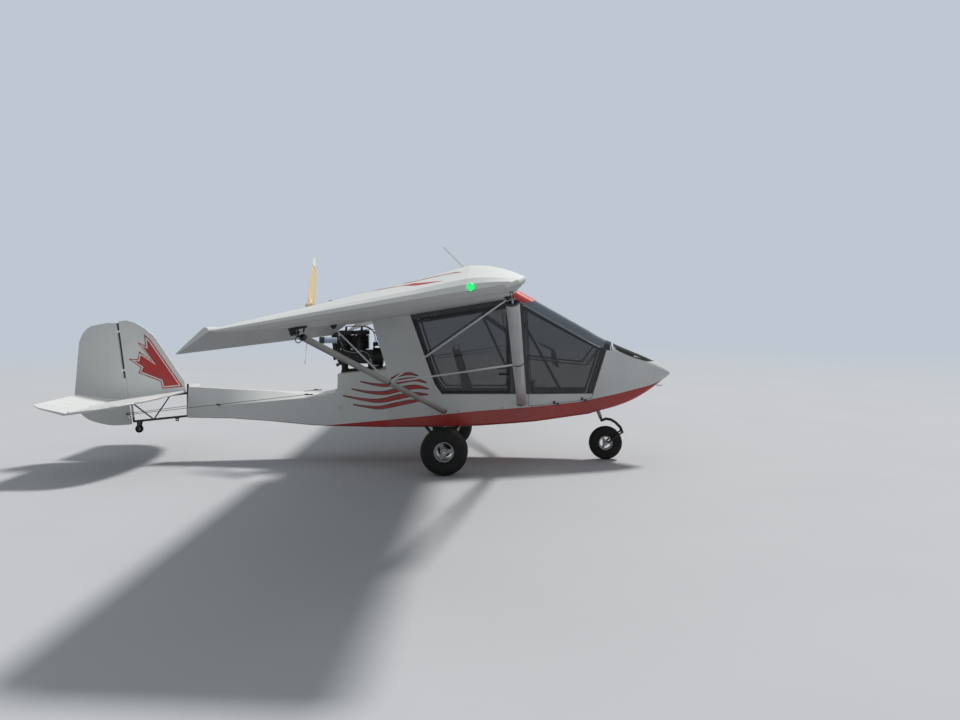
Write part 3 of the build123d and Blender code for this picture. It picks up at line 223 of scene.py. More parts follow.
def hinge_post(made, low, high):
    """A band beside the rudder's leaning hinge line, between two distances ahead of it."""
    ahead = made.math("SUBTRACT", made.axis("X"), made.line(made.axis("Z"), -0.13693, -2.42512))
    return made.both(made.above(ahead, low), made.above(high, ahead))


def fabric_skin(name, red_line=False, post_and_painted_light=False):
    """Doped cloth over ribs: a tight weave, soft sag between ribs, faint grime."""
    made = Shader(name, Sheen_Weight=0.08)
    tone = made.ramp(made.noise(1.1, 6.0), (0.30, GREY_WHITE), (0.60, WHITE))
    if red_line:
        x, z = made.axis("X"), made.axis("Z")
        keel = made.both(made.math("LESS_THAN", z, made.line(x, 0.1053, 0.4243)), made.above(x, -0.62))
        tone = made.blend(keel, tone, made.ramp(made.noise(1.7, 5.0), (0.32, DEEP_RED), (0.62, RED)))
    if post_and_painted_light:
        # Along the rudder's hinge line: a near-white band, partly the pale post tube and partly a painted
        # highlight of it in sun; above 0.83 m, a painted pale blue sky reflection behind the line and a
        # painted shadow in the hinge gap ahead of it.
        upper = made.above(made.axis("Z"), 0.83)
        tone = made.blend(hinge_post(made, -0.0135, 0.02), tone, srgb(236, 238, 240))
        tone = made.blend(made.both(upper, hinge_post(made, -0.0135, 0.0)), tone, srgb(188, 196, 206))
        tone = made.blend(made.both(upper, hinge_post(made, 0.0, 0.02)), tone, srgb(34, 38, 46))
    made.colour(tone)
    made.rough(made.noise(14.0, 3.0), 0.34, 0.52)
    weave = made.node("TexWave", made.place(), 260.0, 0.6, 2.0, wave_type="BANDS", bands_direction="DIAGONAL")
    sag = made.math("SINE", made.math("MULTIPLY", made.axis("Y"), 21.0))
    height = made.math("MULTIPLY_ADD", sag, 0.6, made.math("MULTIPLY", weave, 0.05))
    return made.bump(height, 0.30, 0.004)


def metal(name, light, dark, metallic, roughness, grain=60.0, bump=0.1):
    """Metal, rubber or plastic with a fine grain."""
    made = Shader(name, Metallic=metallic)
    cloud = made.noise(grain, 5.0)
    made.colour(made.ramp(cloud, (0.30, dark), (0.68, light)))
    made.rough(made.noise(grain * 0.4, 4.0), roughness - 0.08, roughness + 0.12)
    return made.bump(cloud, bump, 0.0006)


def glass(name, tint, alpha):
    made = Shader(name, Alpha=alpha, Roughness=0.04, Coat_Weight=1.0, Coat_Roughness=0.02)
    made.colour(made.ramp(made.noise(2.2, 4.0), (0.3, tint), (0.7, shade(tint, 1.5))))
    return made


def wood(name):
    """Laminated blade: grain runs along the blade, tips dipped in white."""
    made = Shader(name, Coat_Weight=0.8, Coat_Roughness=0.08, Roughness=0.35)
    lean = made.node("Mapping", made.place(), (0.634, 0.0, -1.55), None, None)
    turn = made.node("Mapping", lean, None, (math.radians(42.0), 0.0, 0.0), None)
    rings = made.node("TexWave", made.node("Mapping", turn, None, None, (26.0, 30.0, 1.2)), 1.0, 3.0, 3.0)
    stops = ((0.1, srgb(234, 196, 140)), (0.55, srgb(250, 226, 180)), (0.9, srgb(242, 210, 156)))
    tone = made.ramp(rings, *stops)
    height = made.math("ABSOLUTE", made.node("SeparateXYZ", turn).node.outputs["Z"])
    tip, band = made.above(height, 0.585), made.above(height, 0.576)
    made.colour(made.blend(tip, made.blend(band, tone, srgb(96, 74, 52)), srgb(246, 245, 240)))
    return made.bump(rings, 0.08, 0.001)


def cloth(name, light, dark, scale=330.0):
    made = Shader(name, Sheen_Weight=0.4, Roughness=0.9)
    made.colour(made.ramp(made.noise(40.0, 5.0), (0.3, dark), (0.7, light)))
    weave = made.node("TexWave", made.place(), scale, 1.0, 2.0, bands_direction="DIAGONAL")
    return made.bump(weave, 0.35, 0.001)


def glow(name, tint, strength):
    made = Shader(name, Roughness=0.1, Emission_Strength=strength, Coat_Weight=1.0)
    made.bsdf.inputs["Emission Color"].default_value = tint
    return made.colour(made.ramp(made.noise(90.0), (0.3, tint), (0.8, shade(tint, 1.5))))


def rubber(name):
    made = Shader(name, Roughness=0.8)
    dust = made.noise(22.0, 6.0)
    made.colour(made.ramp(dust, (0.35, srgb(15, 15, 16)), (0.75, srgb(33, 33, 33))))
    made.rough(made.noise(50.0, 4.0), 0.62, 0.92)
    return made.bump(made.noise(700.0, 2.0), 0.2, 0.001)


def brace_zone(made):
    """The cabin's raked brace, from the hoop's top down to the front."""
    middle = made.line(made.axis("X"), -1.7826, 4.1543)
    off = made.math("ABSOLUTE", made.math("SUBTRACT", made.axis("Z"), middle))
    return made.both(made.math("LESS_THAN", off, 0.026), made.above(made.axis("X"), 1.46))


def floor_and_walls_painted_shade(made):
    """The belly's floor and the inside of its walls, black as painted shade inside the cabin."""
    return made.either(made.above(made.facing("Z"), 0.4), inner_faces_painted_shade(made))


def cabin_face_painted_shade(made):
    """The bulkhead's face towards the seats, black as painted shade inside the cabin."""
    return made.above(made.facing("X"), 0.3)


def canister_ends(made):
    x = made.axis("X")
    return made.either(made.above(-0.4535, x), made.above(x, -0.326))


# Black window surrounds and door hinges, and black on the pod's inner faces as painted shade inside the
# cabin.
BLACK_TRIM_AND_INNER_SHADE = [(window_zone, BLACK), (inner_faces_painted_shade, BLACK), (strap_zone, BLACK)]
PALE_BLUE, MID_BLUE = srgb(178, 194, 220), srgb(138, 156, 188)
DARK_ENAMEL = srgb(22, 23, 24)
POST = [(white_post, srgb(226, 229, 232))]
BRACE = [(brace_zone, BLACK)]
looks = {
    "covering_white": fabric_skin("covering_white_cloth"),
    "boom_cloth": fabric_skin("boom_cloth_red_keel", red_line=True),
    "rudder_cloth": fabric_skin("rudder_cloth_post_painted_light", post_and_painted_light=True),
    "strut_paint": paint("strut_grey_white_paint", srgb(228, 231, 233), srgb(212, 215, 218), (), 0.34, 0.3),
    "strut_grey": paint("strut_warm_grey_paint", srgb(184, 181, 176), srgb(164, 162, 158), (), 0.38, 0.2),
    "cabin_tubes": paint("cabin_tubes", srgb(190, 192, 193), srgb(170, 172, 173), BRACE, 0.4, 0.2),
    "intake_two_tone": paint("intake_canister", PALE_BLUE, MID_BLUE, [(canister_ends, BLACK)]),
    "shell_white": paint("shell_white_gelcoat", WHITE, GREY_WHITE),
    # The inner faces, the belly's floor, the bulkhead's cabin face and the cap's inside are black: painted
    # shade inside the cabin.
    "cabin_white": paint("cabin_white_black_frames_inner_shade", WHITE, GREY_WHITE, BLACK_TRIM_AND_INNER_SHADE),
    "bulkhead": paint("bulkhead_paint", WHITE, GREY_WHITE, [(cabin_face_painted_shade, BLACK)]),
    "shell_red": paint("shell_red_gelcoat", RED, DEEP_RED, [(floor_and_walls_painted_shade, BLACK), (strap_zone, BLACK)]),
    "cap_red": paint("cap_red_gelcoat", srgb(206, 58, 50), RED, [(inner_faces_painted_shade, BLACK)]),
    "glazing": glass("tinted_glazing", srgb(14, 18, 24), 0.50),
    # The windscreen's tint is lighter and bluer than the side glazing: painted sky light on the glass.
    "windscreen_glass": glass("windscreen_glazing_painted_sky_light", srgb(38, 50, 68), 0.42),
    "bare_tube": metal("grey_tube", srgb(192, 194, 195), srgb(168, 170, 172), 0.25, 0.38, 30.0, 0.05),
    "frame_enamel": paint("tail_frame_enamel", SOFT_BLACK, DARK_ENAMEL, POST, 0.4, 0.1),
    "black_steel": metal("black_enamel", SOFT_BLACK, DARK_ENAMEL, 0.0, 0.42),
    "engine_black": metal("engine_black_casting", srgb(34, 34, 36), srgb(15, 15, 16), 0.0, 0.55, 160.0, 0.4),
    "exhaust_steel": metal("heat_stained_steel", srgb(140, 128, 116), srgb(84, 72, 64), 0.9, 0.45, 18.0),
    "tyre_black": rubber("tyre_rubber"),
    "rim_alloy": metal("cast_alloy_rim", srgb(190, 192, 194), srgb(146, 148, 151), 0.6, 0.34, 80.0),
    "prop_wood": wood("laminated_wood"),
    "seat_cloth": cloth("seat_black_cloth", srgb(50, 50, 54), srgb(28, 28, 31)),
    "webbing": cloth("belt_webbing", srgb(66, 66, 70), srgb(40, 40, 44), 900.0),
    "panel_grey": metal("panel_grey_vinyl", srgb(74, 76, 80), srgb(50, 52, 56), 0.0, 0.6, 220.0, 0.3),
    "lamp_green": glow("lamp_green_lens", (0.0, 0.72, 0.14, 1.0), 1.0),
    "lamp_red": glow("lamp_red_lens", (0.85, 0.03, 0.02, 1.0), 1.6),
    "gloss_black": metal("gloss_black_panel", srgb(30, 33, 38), srgb(14, 15, 18), 0.0, 0.16, 40.0, 0.02),
    "bright_steel": metal("bright_steel", srgb(214, 215, 217), srgb(180, 182, 185), 0.8, 0.28, 200.0),
    "brass": metal("brass_fitting", srgb(204, 172, 100), srgb(160, 128, 70), 0.9, 0.3, 200.0),
    "art_red": paint("vinyl_red", srgb(196, 44, 38), srgb(176, 36, 32), (), 0.3, 0.3),
    "art_dark": paint("vinyl_dark_red", srgb(92, 30, 32), srgb(74, 26, 28), (), 0.3, 0.3),
    "art_pale": paint("vinyl_pale", srgb(238, 236, 232), srgb(226, 222, 218), (), 0.3, 0.3),
    "rubber_trim": metal("black_rubber_trim", srgb(38, 38, 40), srgb(22, 22, 23), 0.0, 0.7, 90.0),
    "rivet_white": paint("painted_rivets_white", srgb(222, 223, 221), srgb(206, 207, 206), (), 0.3, 0.3),
    "rivet_red": paint("painted_rivets_red", srgb(176, 38, 32), srgb(146, 30, 26), (), 0.3, 0.3),
    "dial_white": paint("dial_marks", srgb(230, 230, 224), srgb(214, 214, 208), (), 0.5, 0.0),
    "wire_white": metal("clear_fuel_line", srgb(176, 176, 168), srgb(146, 146, 138), 0.0, 0.5, 120.0),
    "wire_red": metal("red_sleeved_wire", srgb(190, 50, 44), srgb(160, 38, 34), 0.0, 0.5, 120.0),
}
slots = {row["node"]: row["material_slot"] for row in frame["record"]["subparts"]}


def dress(thing, look):
    """Gives every material slot of an object the look."""
    material = look.material if isinstance(look, Shader) else looks[look].material
    if not thing.material_slots:
        thing.data.materials.append(material)
    for place in thing.material_slots:
        place.material = material


NODE_LOOKS = {
    "tail_boom": "boom_cloth",
    "rear_bulkhead": "bulkhead",
    "windscreen": "windscreen_glass",
    "windscreen_cap": "cap_red",
    "rudder": "rudder_cloth",
    "front_struts": "strut_paint",
    "jury_struts": "strut_paint",
    "rear_struts": "strut_grey",
    "cabin_frame": "cabin_tubes",
    "intake": "intake_two_tone",
    "tail_frame": "frame_enamel",
    "side_panel_left": "cabin_white",
    "side_panel_right": "cabin_white",
    "front_door_left": "cabin_white",
    "front_door_right": "cabin_white",
}
for name, thing in nodes.items():
    dress(thing, NODE_LOOKS.get(name, slots[name]))


# Mesh tools. Sizes below are in millimetres, as in the part; meshes are in metres

TURN = 2 * math.pi


def circle(count, start=0.0):
    """Cosine and sine at even turns; start is a share of one step."""
    angles = [TURN * (k + start) / count for k in range(count)]
    return [(math.cos(a), math.sin(a)) for a in angles]


def smooth_path(points, steps=6):
    """A soft line through the points."""
    points = [Vector(p) for p in points]
    ends = [2 * points[0] - points[1]] + points + [2 * points[-1] - points[-2]]
    made = []
    for a, b, c, d in zip(ends[:-3], ends[1:-2], ends[2:-1], ends[3:]):
        for i in range(steps):
            t = i / steps
            bend = (2 * a - 5 * b + 4 * c - d) * t * t + (3 * b - a - 3 * c + d) * t**3
            made.append(b + 0.5 * ((c - a) * t + bend))
    return made + [points[-1]]


class Piece:
    """A mesh of rods, turned forms and plates in one look, on one body."""

    def __init__(self, name, look, body="airframe"):
        self.name, self.look, self.body = name, look, body
        self.bm = bmesh.new()

    def hoops(self, hoops, loop=False):
        """Skins a run of rings of points and closes its ends."""
        rows = [[self.bm.verts.new(p / 1000.0) for p in hoop] for hoop in hoops]
        for a, b in zip(rows, rows[1:] + (rows[:1] if loop else [])):
            for i in range(len(a)):
                j = (i + 1) % len(a)
                self.bm.faces.new((a[i], a[j], b[j], b[i]))
        if not loop:
            self.bm.faces.new(rows[0][::-1])
            self.bm.faces.new(rows[-1])
        return self

    def rod(self, points, radius, sides=8, loop=False):
        """A round bar along the points."""
        points = [Vector(p) for p in points]
        count, side, hoops = len(points), None, []
        for i, p in enumerate(points):
            before = points[i - 1] if loop or i else p
            after = points[(i + 1) % count] if loop or i < count - 1 else p
            run = (after - before).normalized()
            side = (side - run * side.dot(run)).normalized() if side else run.orthogonal().normalized()
            up = run.cross(side)
            hoops.append([p + (side * cos + up * sin) * radius for cos, sin in circle(sides)])
        return self.hoops(hoops, loop)

    def hose(self, points, radius, sides=8):
        """A round bar along a soft line through the points."""
        return self.rod(smooth_path(points), radius, sides)

    def turned(self, origin, axis, profile, sides=20, loop=False):
        """A turned form: the profile gives distance along the axis and radius."""
        origin, axis = Vector(origin), Vector(axis).normalized()
        side = axis.orthogonal().normalized()
        up = axis.cross(side)
        spokes = [side * cos + up * sin for cos, sin in circle(sides)]
        return self.hoops([[origin + axis * d + s * r for s in spokes] for d, r in profile], loop)

    def collar(self, origin, axis, inner, outer, width, sides):
        """A plain ring, from its inner radius to its outer one."""
        profile = [(0, inner), (0, outer), (width, outer), (width, inner)]
        return self.turned(origin, axis, profile, sides, True)

    def plate(self, corners, depth):
        """A flat outline pushed through by a depth."""
        corners = [Vector(c) for c in corners]
        return self.hoops([corners, [c + Vector(depth) for c in corners]])

    def block(self, centre, size):
        (x, y, z), (a, b, c) = centre, (s / 2 for s in size)
        corners = [(x - a, y - b, z - c), (x + a, y - b, z - c), (x + a, y + b, z - c), (x - a, y + b, z - c)]
        return self.plate(corners, (0, 0, 2 * c))

    def bolt(self, at, out, size):
        """A washer and a hexagon head."""
        self.turned(at, out, [(-0.3, size), (0.2 * size, size), (0.25 * size, 0.9 * size)], 12)
        head = [(0.2 * size, 0.8 * size), (0.75 * size, 0.8 * size), (0.9 * size, 0.6 * size)]
        return self.turned(at, out, head, 6)

    def dome(self, at, out, size):
        """A rivet's head."""
        return self.turned(at, out, [(-0.3, size), (0.25 * size, 0.85 * size), (0.45 * size, 0.3 * size)], 8)

    def spiral(self, p, q, radius, wire, turns):
        """A coil spring from p to q."""
        p, q = Vector(p), Vector(q)
        axis = (q - p).normalized()
        side = axis.orthogonal().normalized()
        up = axis.cross(side)
        count = turns * 10
        points = []
        for i in range(count + 1):
            a = TURN * turns * i / count
            points.append(p + (q - p) * i / count + (side * math.cos(a) + up * math.sin(a)) * radius)
        return self.rod(points, wire, 6)

    def make(self, angle=40.0, bevel=0.0):
        bmesh.ops.recalc_face_normals(self.bm, faces=self.bm.faces)
        mesh = bpy.data.meshes.new(self.name)
        self.bm.to_mesh(mesh)
        self.bm.free()
        mesh.shade_smooth()
        mesh.set_sharp_from_angle(angle=math.radians(angle))
        thing = bpy.data.objects.new(self.name, mesh)
        scene.collection.objects.link(thing)
        if bevel:
            edge = thing.modifiers.new("edge", "BEVEL")
            edge.width, edge.segments, edge.limit_method = bevel / 1000.0, 2, "ANGLE"
        dress(thing, self.look)
        if self.body:
            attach(thing, self.body)
        return thing


def surface(*names):
    """The named nodes' faces, to cast rays at."""
    points, faces = [], []
    for name in names:
        mesh, start = nodes[name].data, len(points)
        points += [v.co.copy() for v in mesh.vertices]
        faces += [[start + i for i in face.vertices] for face in mesh.polygons]
    return BVHTree.FromPolygons(points, faces)


def landing(tree, point, ray):
    """Where a ray through the point first meets the surface, in millimetres, and the way out of it."""
    ray = Vector(ray)
    at, normal, _, _ = tree.ray_cast(Vector(point) / 1000.0 - ray * 2.0, ray)
    if at is None:
        return None, None
    return at * 1000.0, (normal if normal.dot(ray) < 0 else -normal)


def landings(tree, points, ray):
    """The same for several points, without the rays that miss."""
    found = [landing(tree, point, ray) for point in points]
    return [(at, out) for at, out in found if at]


def laid(name, look, shapes, tree, ray, body="airframe", lift=0.6, step=40.0):
    """Thin vinyl or tape: outlines laid along a ray onto the surface."""
    piece = Piece(name, look, body)
    bm = piece.bm
    for shape in shapes:
        bm.faces.new([bm.verts.new(Vector(p) / 1000.0) for p in shape])
    bmesh.ops.remove_doubles(bm, verts=bm.verts, dist=0.00005)
    bmesh.ops.triangulate(bm, faces=bm.faces[:])
    for _ in range(5):
        long_edges = [e for e in bm.edges if e.calc_length() > step / 1000.0]
        if long_edges:
            bmesh.ops.subdivide_edges(bm, edges=long_edges, cuts=1)
            bmesh.ops.triangulate(bm, faces=bm.faces[:])
    lost = []
    for v in bm.verts:
        at, out = landing(tree, v.co * 1000.0, ray)
        if at is None:
            lost.append(v)
        else:
            v.co = (at + out * lift) / 1000.0
    bmesh.ops.delete(bm, geom=lost, context="VERTS")
    return piece.make()


def ribbon(points, widths):
    """A tapering stripe along a soft line, as a run of flat quads."""
    line = smooth_path([(a, b, 0.0) for a, b in points], 8)
    count, spread = len(line) - 1, []
    for i, p in enumerate(line):
        share = i / count * (len(widths) - 1)
        k = min(int(share), len(widths) - 2)
        width = widths[k] + (widths[k + 1] - widths[k]) * (share - k)
        run = (line[min(i + 1, count)] - line[max(i - 1, 0)]).normalized()
        out = Vector((-run.y, run.x, 0.0)) * max(width, 0.6) / 2
        spread.append((p + out, p - out))
    return [[p.xy for p in (a, b, d, c)] for (a, b), (c, d) in zip(spread[:-1], spread[1:])]


def inset(points, amount):
    """A flat outline drawn in by an amount."""
    count = len(points)
    area = sum(points[i - 1][0] * points[i][1] - points[i][0] * points[i - 1][1] for i in range(count))
    turn = 1.0 if area > 0 else -1.0
    made = []
    for i in range(count):
        p, q, r = (Vector(points[k % count]) for k in (i - 1, i, i + 1))
        a, b = (q - p).normalized(), (r - q).normalized()
        na, nb = Vector((-a.y, a.x)) * turn, Vector((-b.y, b.x)) * turn
        middle = (na + nb).normalized()
        made.append(tuple(q + middle * amount / max(middle.dot(na), 0.35)))
    return made


def along(p, q, spacing):
    """Evenly spaced points from p to q."""
    p, q = Vector(p), Vector(q)
    count = max(1, round((q - p).length / spacing))
    return [p + (q - p) * i / count for i in range(count + 1)]


# The wing's own places, as in the part

WING_LE, INCIDENCE, DIHEDRAL = (1414.0, 1650.0), math.radians(9.3), math.tan(math.radians(1.0))
ROOT_Y = 334.0


def wing_point(chord, height, y):
    """Chord from the leading edge and height over the lower skin, at a span station."""
    x = WING_LE[0] - chord * math.cos(INCIDENCE) - height * math.sin(INCIDENCE)
    z = WING_LE[1] - chord * math.sin(INCIDENCE) + height * math.cos(INCIDENCE)
    return Vector((x, y, z + max(abs(y) - ROOT_Y, 0.0) * DIHEDRAL))


SIDES = (("left", 1), ("right", -1))
DOWN = (0, 0, -1)


# Wheels: tyres with grooved tread, hub caps and bolts, valves and brakes

MAIN_X, MAIN_Y, MAIN_R = 786.0, 840.0, 221.5
NOSE_X, NOSE_R = 2396.0, 169.0
TAIL_X, TAIL_Z, TAIL_R = -2389.0, 310.0, 40.0
# Columns: share of the side wall's height, how far the rubber stands out there
WALL_RINGS = [(0.0, 0.0), (0.12, 0.0), (0.14, 1.2), (0.20, 1.2), (0.22, 0.0)]
WALL_RINGS += [(0.55, 0.0), (0.57, 1.0), (0.63, 1.0), (0.65, 0.0), (0.92, 0.0)]


def tyre(name, node, body, centre, radius, width, rim_r, grooves, depth):
    """A tyre's turned skin: beads, side walls with raised rings, shoulders and a grooved crown."""
    r_out, r_in, half = 0.36 * width, 0.12 * width, width / 2
    low, top, crown = rim_r + r_in, radius - r_out, half - r_out
    side = [(half - r_in, rim_r)]
    side += [(half - r_in + r_in * math.sin(a), low - r_in * math.cos(a)) for a in (0.5, 1.0)]
    side += [(half - 1.4 + up, low + (top - low) * share) for share, up in WALL_RINGS]
    for i in range(1, 7):
        a = math.pi / 2 * i / 7
        side.append((crown + r_out * math.cos(a), top + r_out * math.sin(a)))
    tread = []
    for k in range(grooves):
        y = crown - 2 * crown / (grooves - 1) * k
        tread += [(y + 3.2, radius), (y + 1.8, radius - depth), (y - 1.8, radius - depth), (y - 3.2, radius)]
    profile = side + tread + [(-y, r) for y, r in reversed(side)]
    profile += [(-0.3 * width, rim_r), (0.3 * width, rim_r)]
    thing = Piece(name, "tyre_black", body).turned(centre, (0, 1, 0), profile, 96, True).make(28.0)
    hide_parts(node)


def main_wheel(y, x=0.0, z=0.0):
    """A point by its distance to port and its offsets from the main wheels' axle line."""
    return (MAIN_X + x, y, MAIN_R + z)


HUB_CAP = [(0, 33), (2, 34), (3, 30), (4, 24), (4, 19.5), (0, 19.5)]
# Columns: distance out, height over the axle, size
CALIPER_BLOCKS = [(752.0, 61.5, (54.0, 12.0, 30.0)), (772.0, 61.5, (54.0, 12.0, 30.0))]
CALIPER_BLOCKS += [(762.0, 78.5, (54.0, 32.0, 8.0)), (750.0, 30.5, (30.0, 8.0, 34.0))]
BRAKE_PIPE = [(786, 746, 292), (786, 726, 300), (800, 640, 292), (846, 450, 344), (884, 300, 398)]
for side, s in SIDES:
    body, out = "main_wheel_" + side, (0, s, 0)
    node = "main_tyre_" + side
    tyre("main_tyre_tread_" + side, node, body, main_wheel(MAIN_Y * s), MAIN_R, 200.0, 94.0, 6, 5.0)
    cap = Piece("main_hub_cap_" + side, "rim_alloy", body)
    cap.turned(main_wheel(902.0 * s), out, HUB_CAP, 32, True)
    for cos, sin in circle(6, 0.5):
        cap.bolt(main_wheel(904.0 * s, 27.0 * cos, 27.0 * sin), out, 4.2)
    for cos, sin in circle(18):
        cap.dome(main_wheel(902.0 * s, 84.0 * cos, 84.0 * sin), out, 2.6)
    cap.make()
    disc = Piece("brake_disc_" + side, "black_steel", body).collar(main_wheel(764.0 * s), out, 24, 64, 4, 48)
    disc.collar(main_wheel(766.0 * s), out, 24, 31, 13, 32).make()
    valve_end = main_wheel(918.0 * s, 4.0, 66.5)
    valve = Piece("main_valve_" + side, "brass", body).rod([main_wheel(893.0 * s, 0.0, 70.5), valve_end], 3.0)
    valve.turned(valve_end, out, [(0, 4), (8, 4), (9, 3)], 10).make()
    caliper = Piece("brake_caliper_" + side, "black_steel")
    for y, z, size in CALIPER_BLOCKS:
        caliper.block(main_wheel(y * s, 0.0, z), size)
    for x in (-18.0, 18.0):
        caliper.bolt(main_wheel(746.0 * s, x, 64.5), (0, -s, 0), 5.0)
    caliper.make(40.0, 1.2)
    Piece("brake_pipe_" + side, "black_steel").hose([(x, y * s, z) for x, y, z in BRAKE_PIPE], 3.0, 6).make()
    nut = Piece("axle_nut_" + side, "bright_steel")
    nut.turned(main_wheel(920.0 * s), out, [(0, 17), (7, 17), (8, 14)], 6).make()

tyre("nose_tyre_tread", "nose_tyre", "nose_wheel", (NOSE_X, 0.0, NOSE_R), NOSE_R, 100.0, 72.0, 4, 4.0)
cap = Piece("nose_hub_bolts", "bright_steel", "nose_wheel")
nuts = Piece("nose_axle_nuts", "bright_steel", "nose_fork")
for _, s in SIDES:
    for cos, sin in circle(6, 0.5):
        cap.bolt((NOSE_X + 20.0 * cos, 31.0 * s, NOSE_R + 20.0 * sin), (0, s, 0), 3.6)
    nut_profile = [(0, 15), (6, 15), (7, 12.5), (7, 6.2), (0, 6.2)]
    nuts.turned((NOSE_X, 73.5 * s, NOSE_R), (0, s, 0), nut_profile, 6, True)
cap.rod([(NOSE_X, -28.0, 232.0), (NOSE_X + 3.0, -42.0, 229.0)], 2.6).make()
tyre("tail_tyre_tread", "tail_wheel", "tail_wheel", (TAIL_X, 0.0, TAIL_Z), TAIL_R, 30.0, 18.0, 3, 2.0)
core = Piece("tail_wheel_core", "rim_alloy", "tail_wheel")
core_profile = [(0, 5.4), (0, 9), (4, 18.2), (22, 18.2), (26, 9), (26, 5.4)]
core.turned((TAIL_X, -13.0, TAIL_Z), (0, 1, 0), core_profile, 32, True).make()
nuts.make()


# Livery: wavy tongues on the pod's sides, a half leaf on the fin, two stripes on each wing tip

PODS = surface("side_panel_left", "side_panel_right", "tail_boom", "engine_deck")
# Columns: the tongue's line (x, z), its widths
TONGUES = [
    ([(500, 884), (410, 902), (310, 886), (225, 852)], (1, 18, 20, 1)),
    ([(585, 812), (470, 846), (340, 832), (200, 790), (60, 796), (-75, 822)], (1, 28, 36, 26, 12, 1)),
    ([(606, 752), (480, 772), (330, 752), (170, 712), (0, 718), (-165, 748)], (1, 32, 40, 30, 14, 1)),
    ([(600, 696), (460, 700), (300, 672), (120, 634), (-60, 646), (-255, 680)], (1, 34, 42, 32, 14, 1)),
    ([(560, 640), (420, 626), (270, 596), (120, 566), (-20, 574), (-150, 592)], (1, 28, 32, 24, 10, 1)),
]
for side, s in SIDES:
    for look, grow, lift in (("art_dark", 13.0, 0.5), ("art_red", 0.0, 0.9)):
        quads = [quad for line, widths in TONGUES for quad in ribbon(line, [w + grow for w in widths])]
        shapes = [[(x, 500.0 * s, z) for x, z in quad] for quad in quads]
        laid("flame_" + look + "_" + side, look, shapes, PODS, (0, -s, 0), lift=lift)

FIN = surface("fin")
LEAF = [(-1938, 742), (-2150, 722), (-2168, 796), (-2396, 884), (-2372, 938), (-2500, 1030), (-2404, 1026)]
LEAF += [(-2386, 1108), (-2262, 1012), (-2408, 1200), (-2326, 1166), (-2338, 1284), (-2272, 1222)]
for side, s in SIDES:
    for look, amount, lift in (("art_red", 0.0, 0.5), ("art_pale", 11.0, 0.9), ("art_red", 23.0, 1.3)):
        shape = [(x, 300.0 * s, z) for x, z in inset(LEAF, amount)]
        laid("fin_leaf_" + side + str(int(amount)), look, [shape], FIN, (0, -s, 0), lift=lift)

TIP_BOW_Y = 4786.0
# Columns: the stripe's line (chord, distance in from the tip bow), its widths
TIP_STRIPES = [([(290, 130), (430, 200), (600, 380), (680, 700)], (1, 44, 36, 1))]
TIP_STRIPES += [([(380, 60), (540, 130), (740, 330), (840, 680)], (1, 36, 30, 1))]
for side, s in SIDES:
    quads = [quad for line, widths in TIP_STRIPES for quad in ribbon(line, widths)]
    shapes = [[wing_point(chord, 300.0, s * (TIP_BOW_Y - d)) for chord, d in quad] for quad in quads]
    laid("tip_stripes_" + side, "art_red", shapes, surface("wing_" + side), DOWN, lift=0.9)


# Nose: dark hatch on its top, its rim and screws, and the small probe under the tip

COWL = surface("nose_cowl")
HALF_HATCH = [(2462, 0), (2456, -120), (2450, -208), (2486, -225), (2648, -193), (2782, -153)]
HALF_HATCH += [(2846, -112), (2884, -56), (2898, 0)]
hatch = [(x, y, 1400.0) for x, y in HALF_HATCH + [(x, -y) for x, y in HALF_HATCH[-2:0:-1]]]
laid("nose_hatch", "gloss_black", [hatch], COWL, DOWN, lift=1.2, step=22.0)
edge = smooth_path(hatch + hatch[:1], 4)[:-1]
rim = Piece("nose_hatch_rim", "rubber_trim")
rim.rod([at + Vector((0, 0, 1.4)) for at, _ in landings(COWL, edge, DOWN)], 2.8, 6, True).make()
heads = Piece("nose_screws", "bright_steel")
for x, z in ((2450, 1120), (2540, 1078), (2630, 1036), (2720, 1002), (2810, 978), (2890, 960)):
    for _, s in SIDES:
        for at, out in landings(COWL, [(x, 600.0 * s, z)], (0, -s, 0)):
            heads.dome(at, out, 3.6)
heads.make()
probe = Piece("pitot_probe", "bright_steel")
probe.hose([(2905, -30, 812), (2906, -30, 782), (2914, -30, 764), (2934, -30, 758), (2974, -30, 758)], 5.0)
probe.turned((2905, -30, 806), DOWN, [(-26, 11), (-6, 11), (-2, 8)], 14).make()


# Engine: plug caps and leads, coil, fuel and throttle lines, springs, bolts, belt teeth

CYLINDERS = (-265, -105)

wires = Piece("ignition_leads", "rubber_trim")
front_lead = [(-105, 0, 1346), (-92, -6, 1362), (-50, -18, 1362), (4, -26, 1326)]
front_lead += [(34, -28, 1262), (34, -24, 1196)]
rear_lead = [(-265, 0, 1346), (-252, -14, 1362), (-190, -40, 1364), (-110, -46, 1364), (-30, -52, 1346)]
rear_lead += [(40, -54, 1294), (60, -52, 1240), (50, -50, 1196)]
wires.hose(front_lead, 4.0).hose(rear_lead, 4.0)
for x in CYLINDERS:
    wires.turned((x, 0, 1318), (0, 0, 1), [(0, 13), (10, 13), (14, 11), (34, 11), (40, 8), (44, 5)], 16)
wires.block((42, -38, 1182), (46, 70, 36))
for y in (-64, -12):
    wires.rod([(22, y, 1114), (24, y, 1150), (36, y, 1166)], 5.0)
wires.hose([(62, -38, 1176), (92, -60, 1150), (104, -84, 1060), (80, -96, 990), (60, -90, 940)], 5.0)
wires.hose([(-342, 40, 1090), (-372, 74, 1050), (-330, 96, 960), (-250, 90, 915)], 6.0)
wires.make()

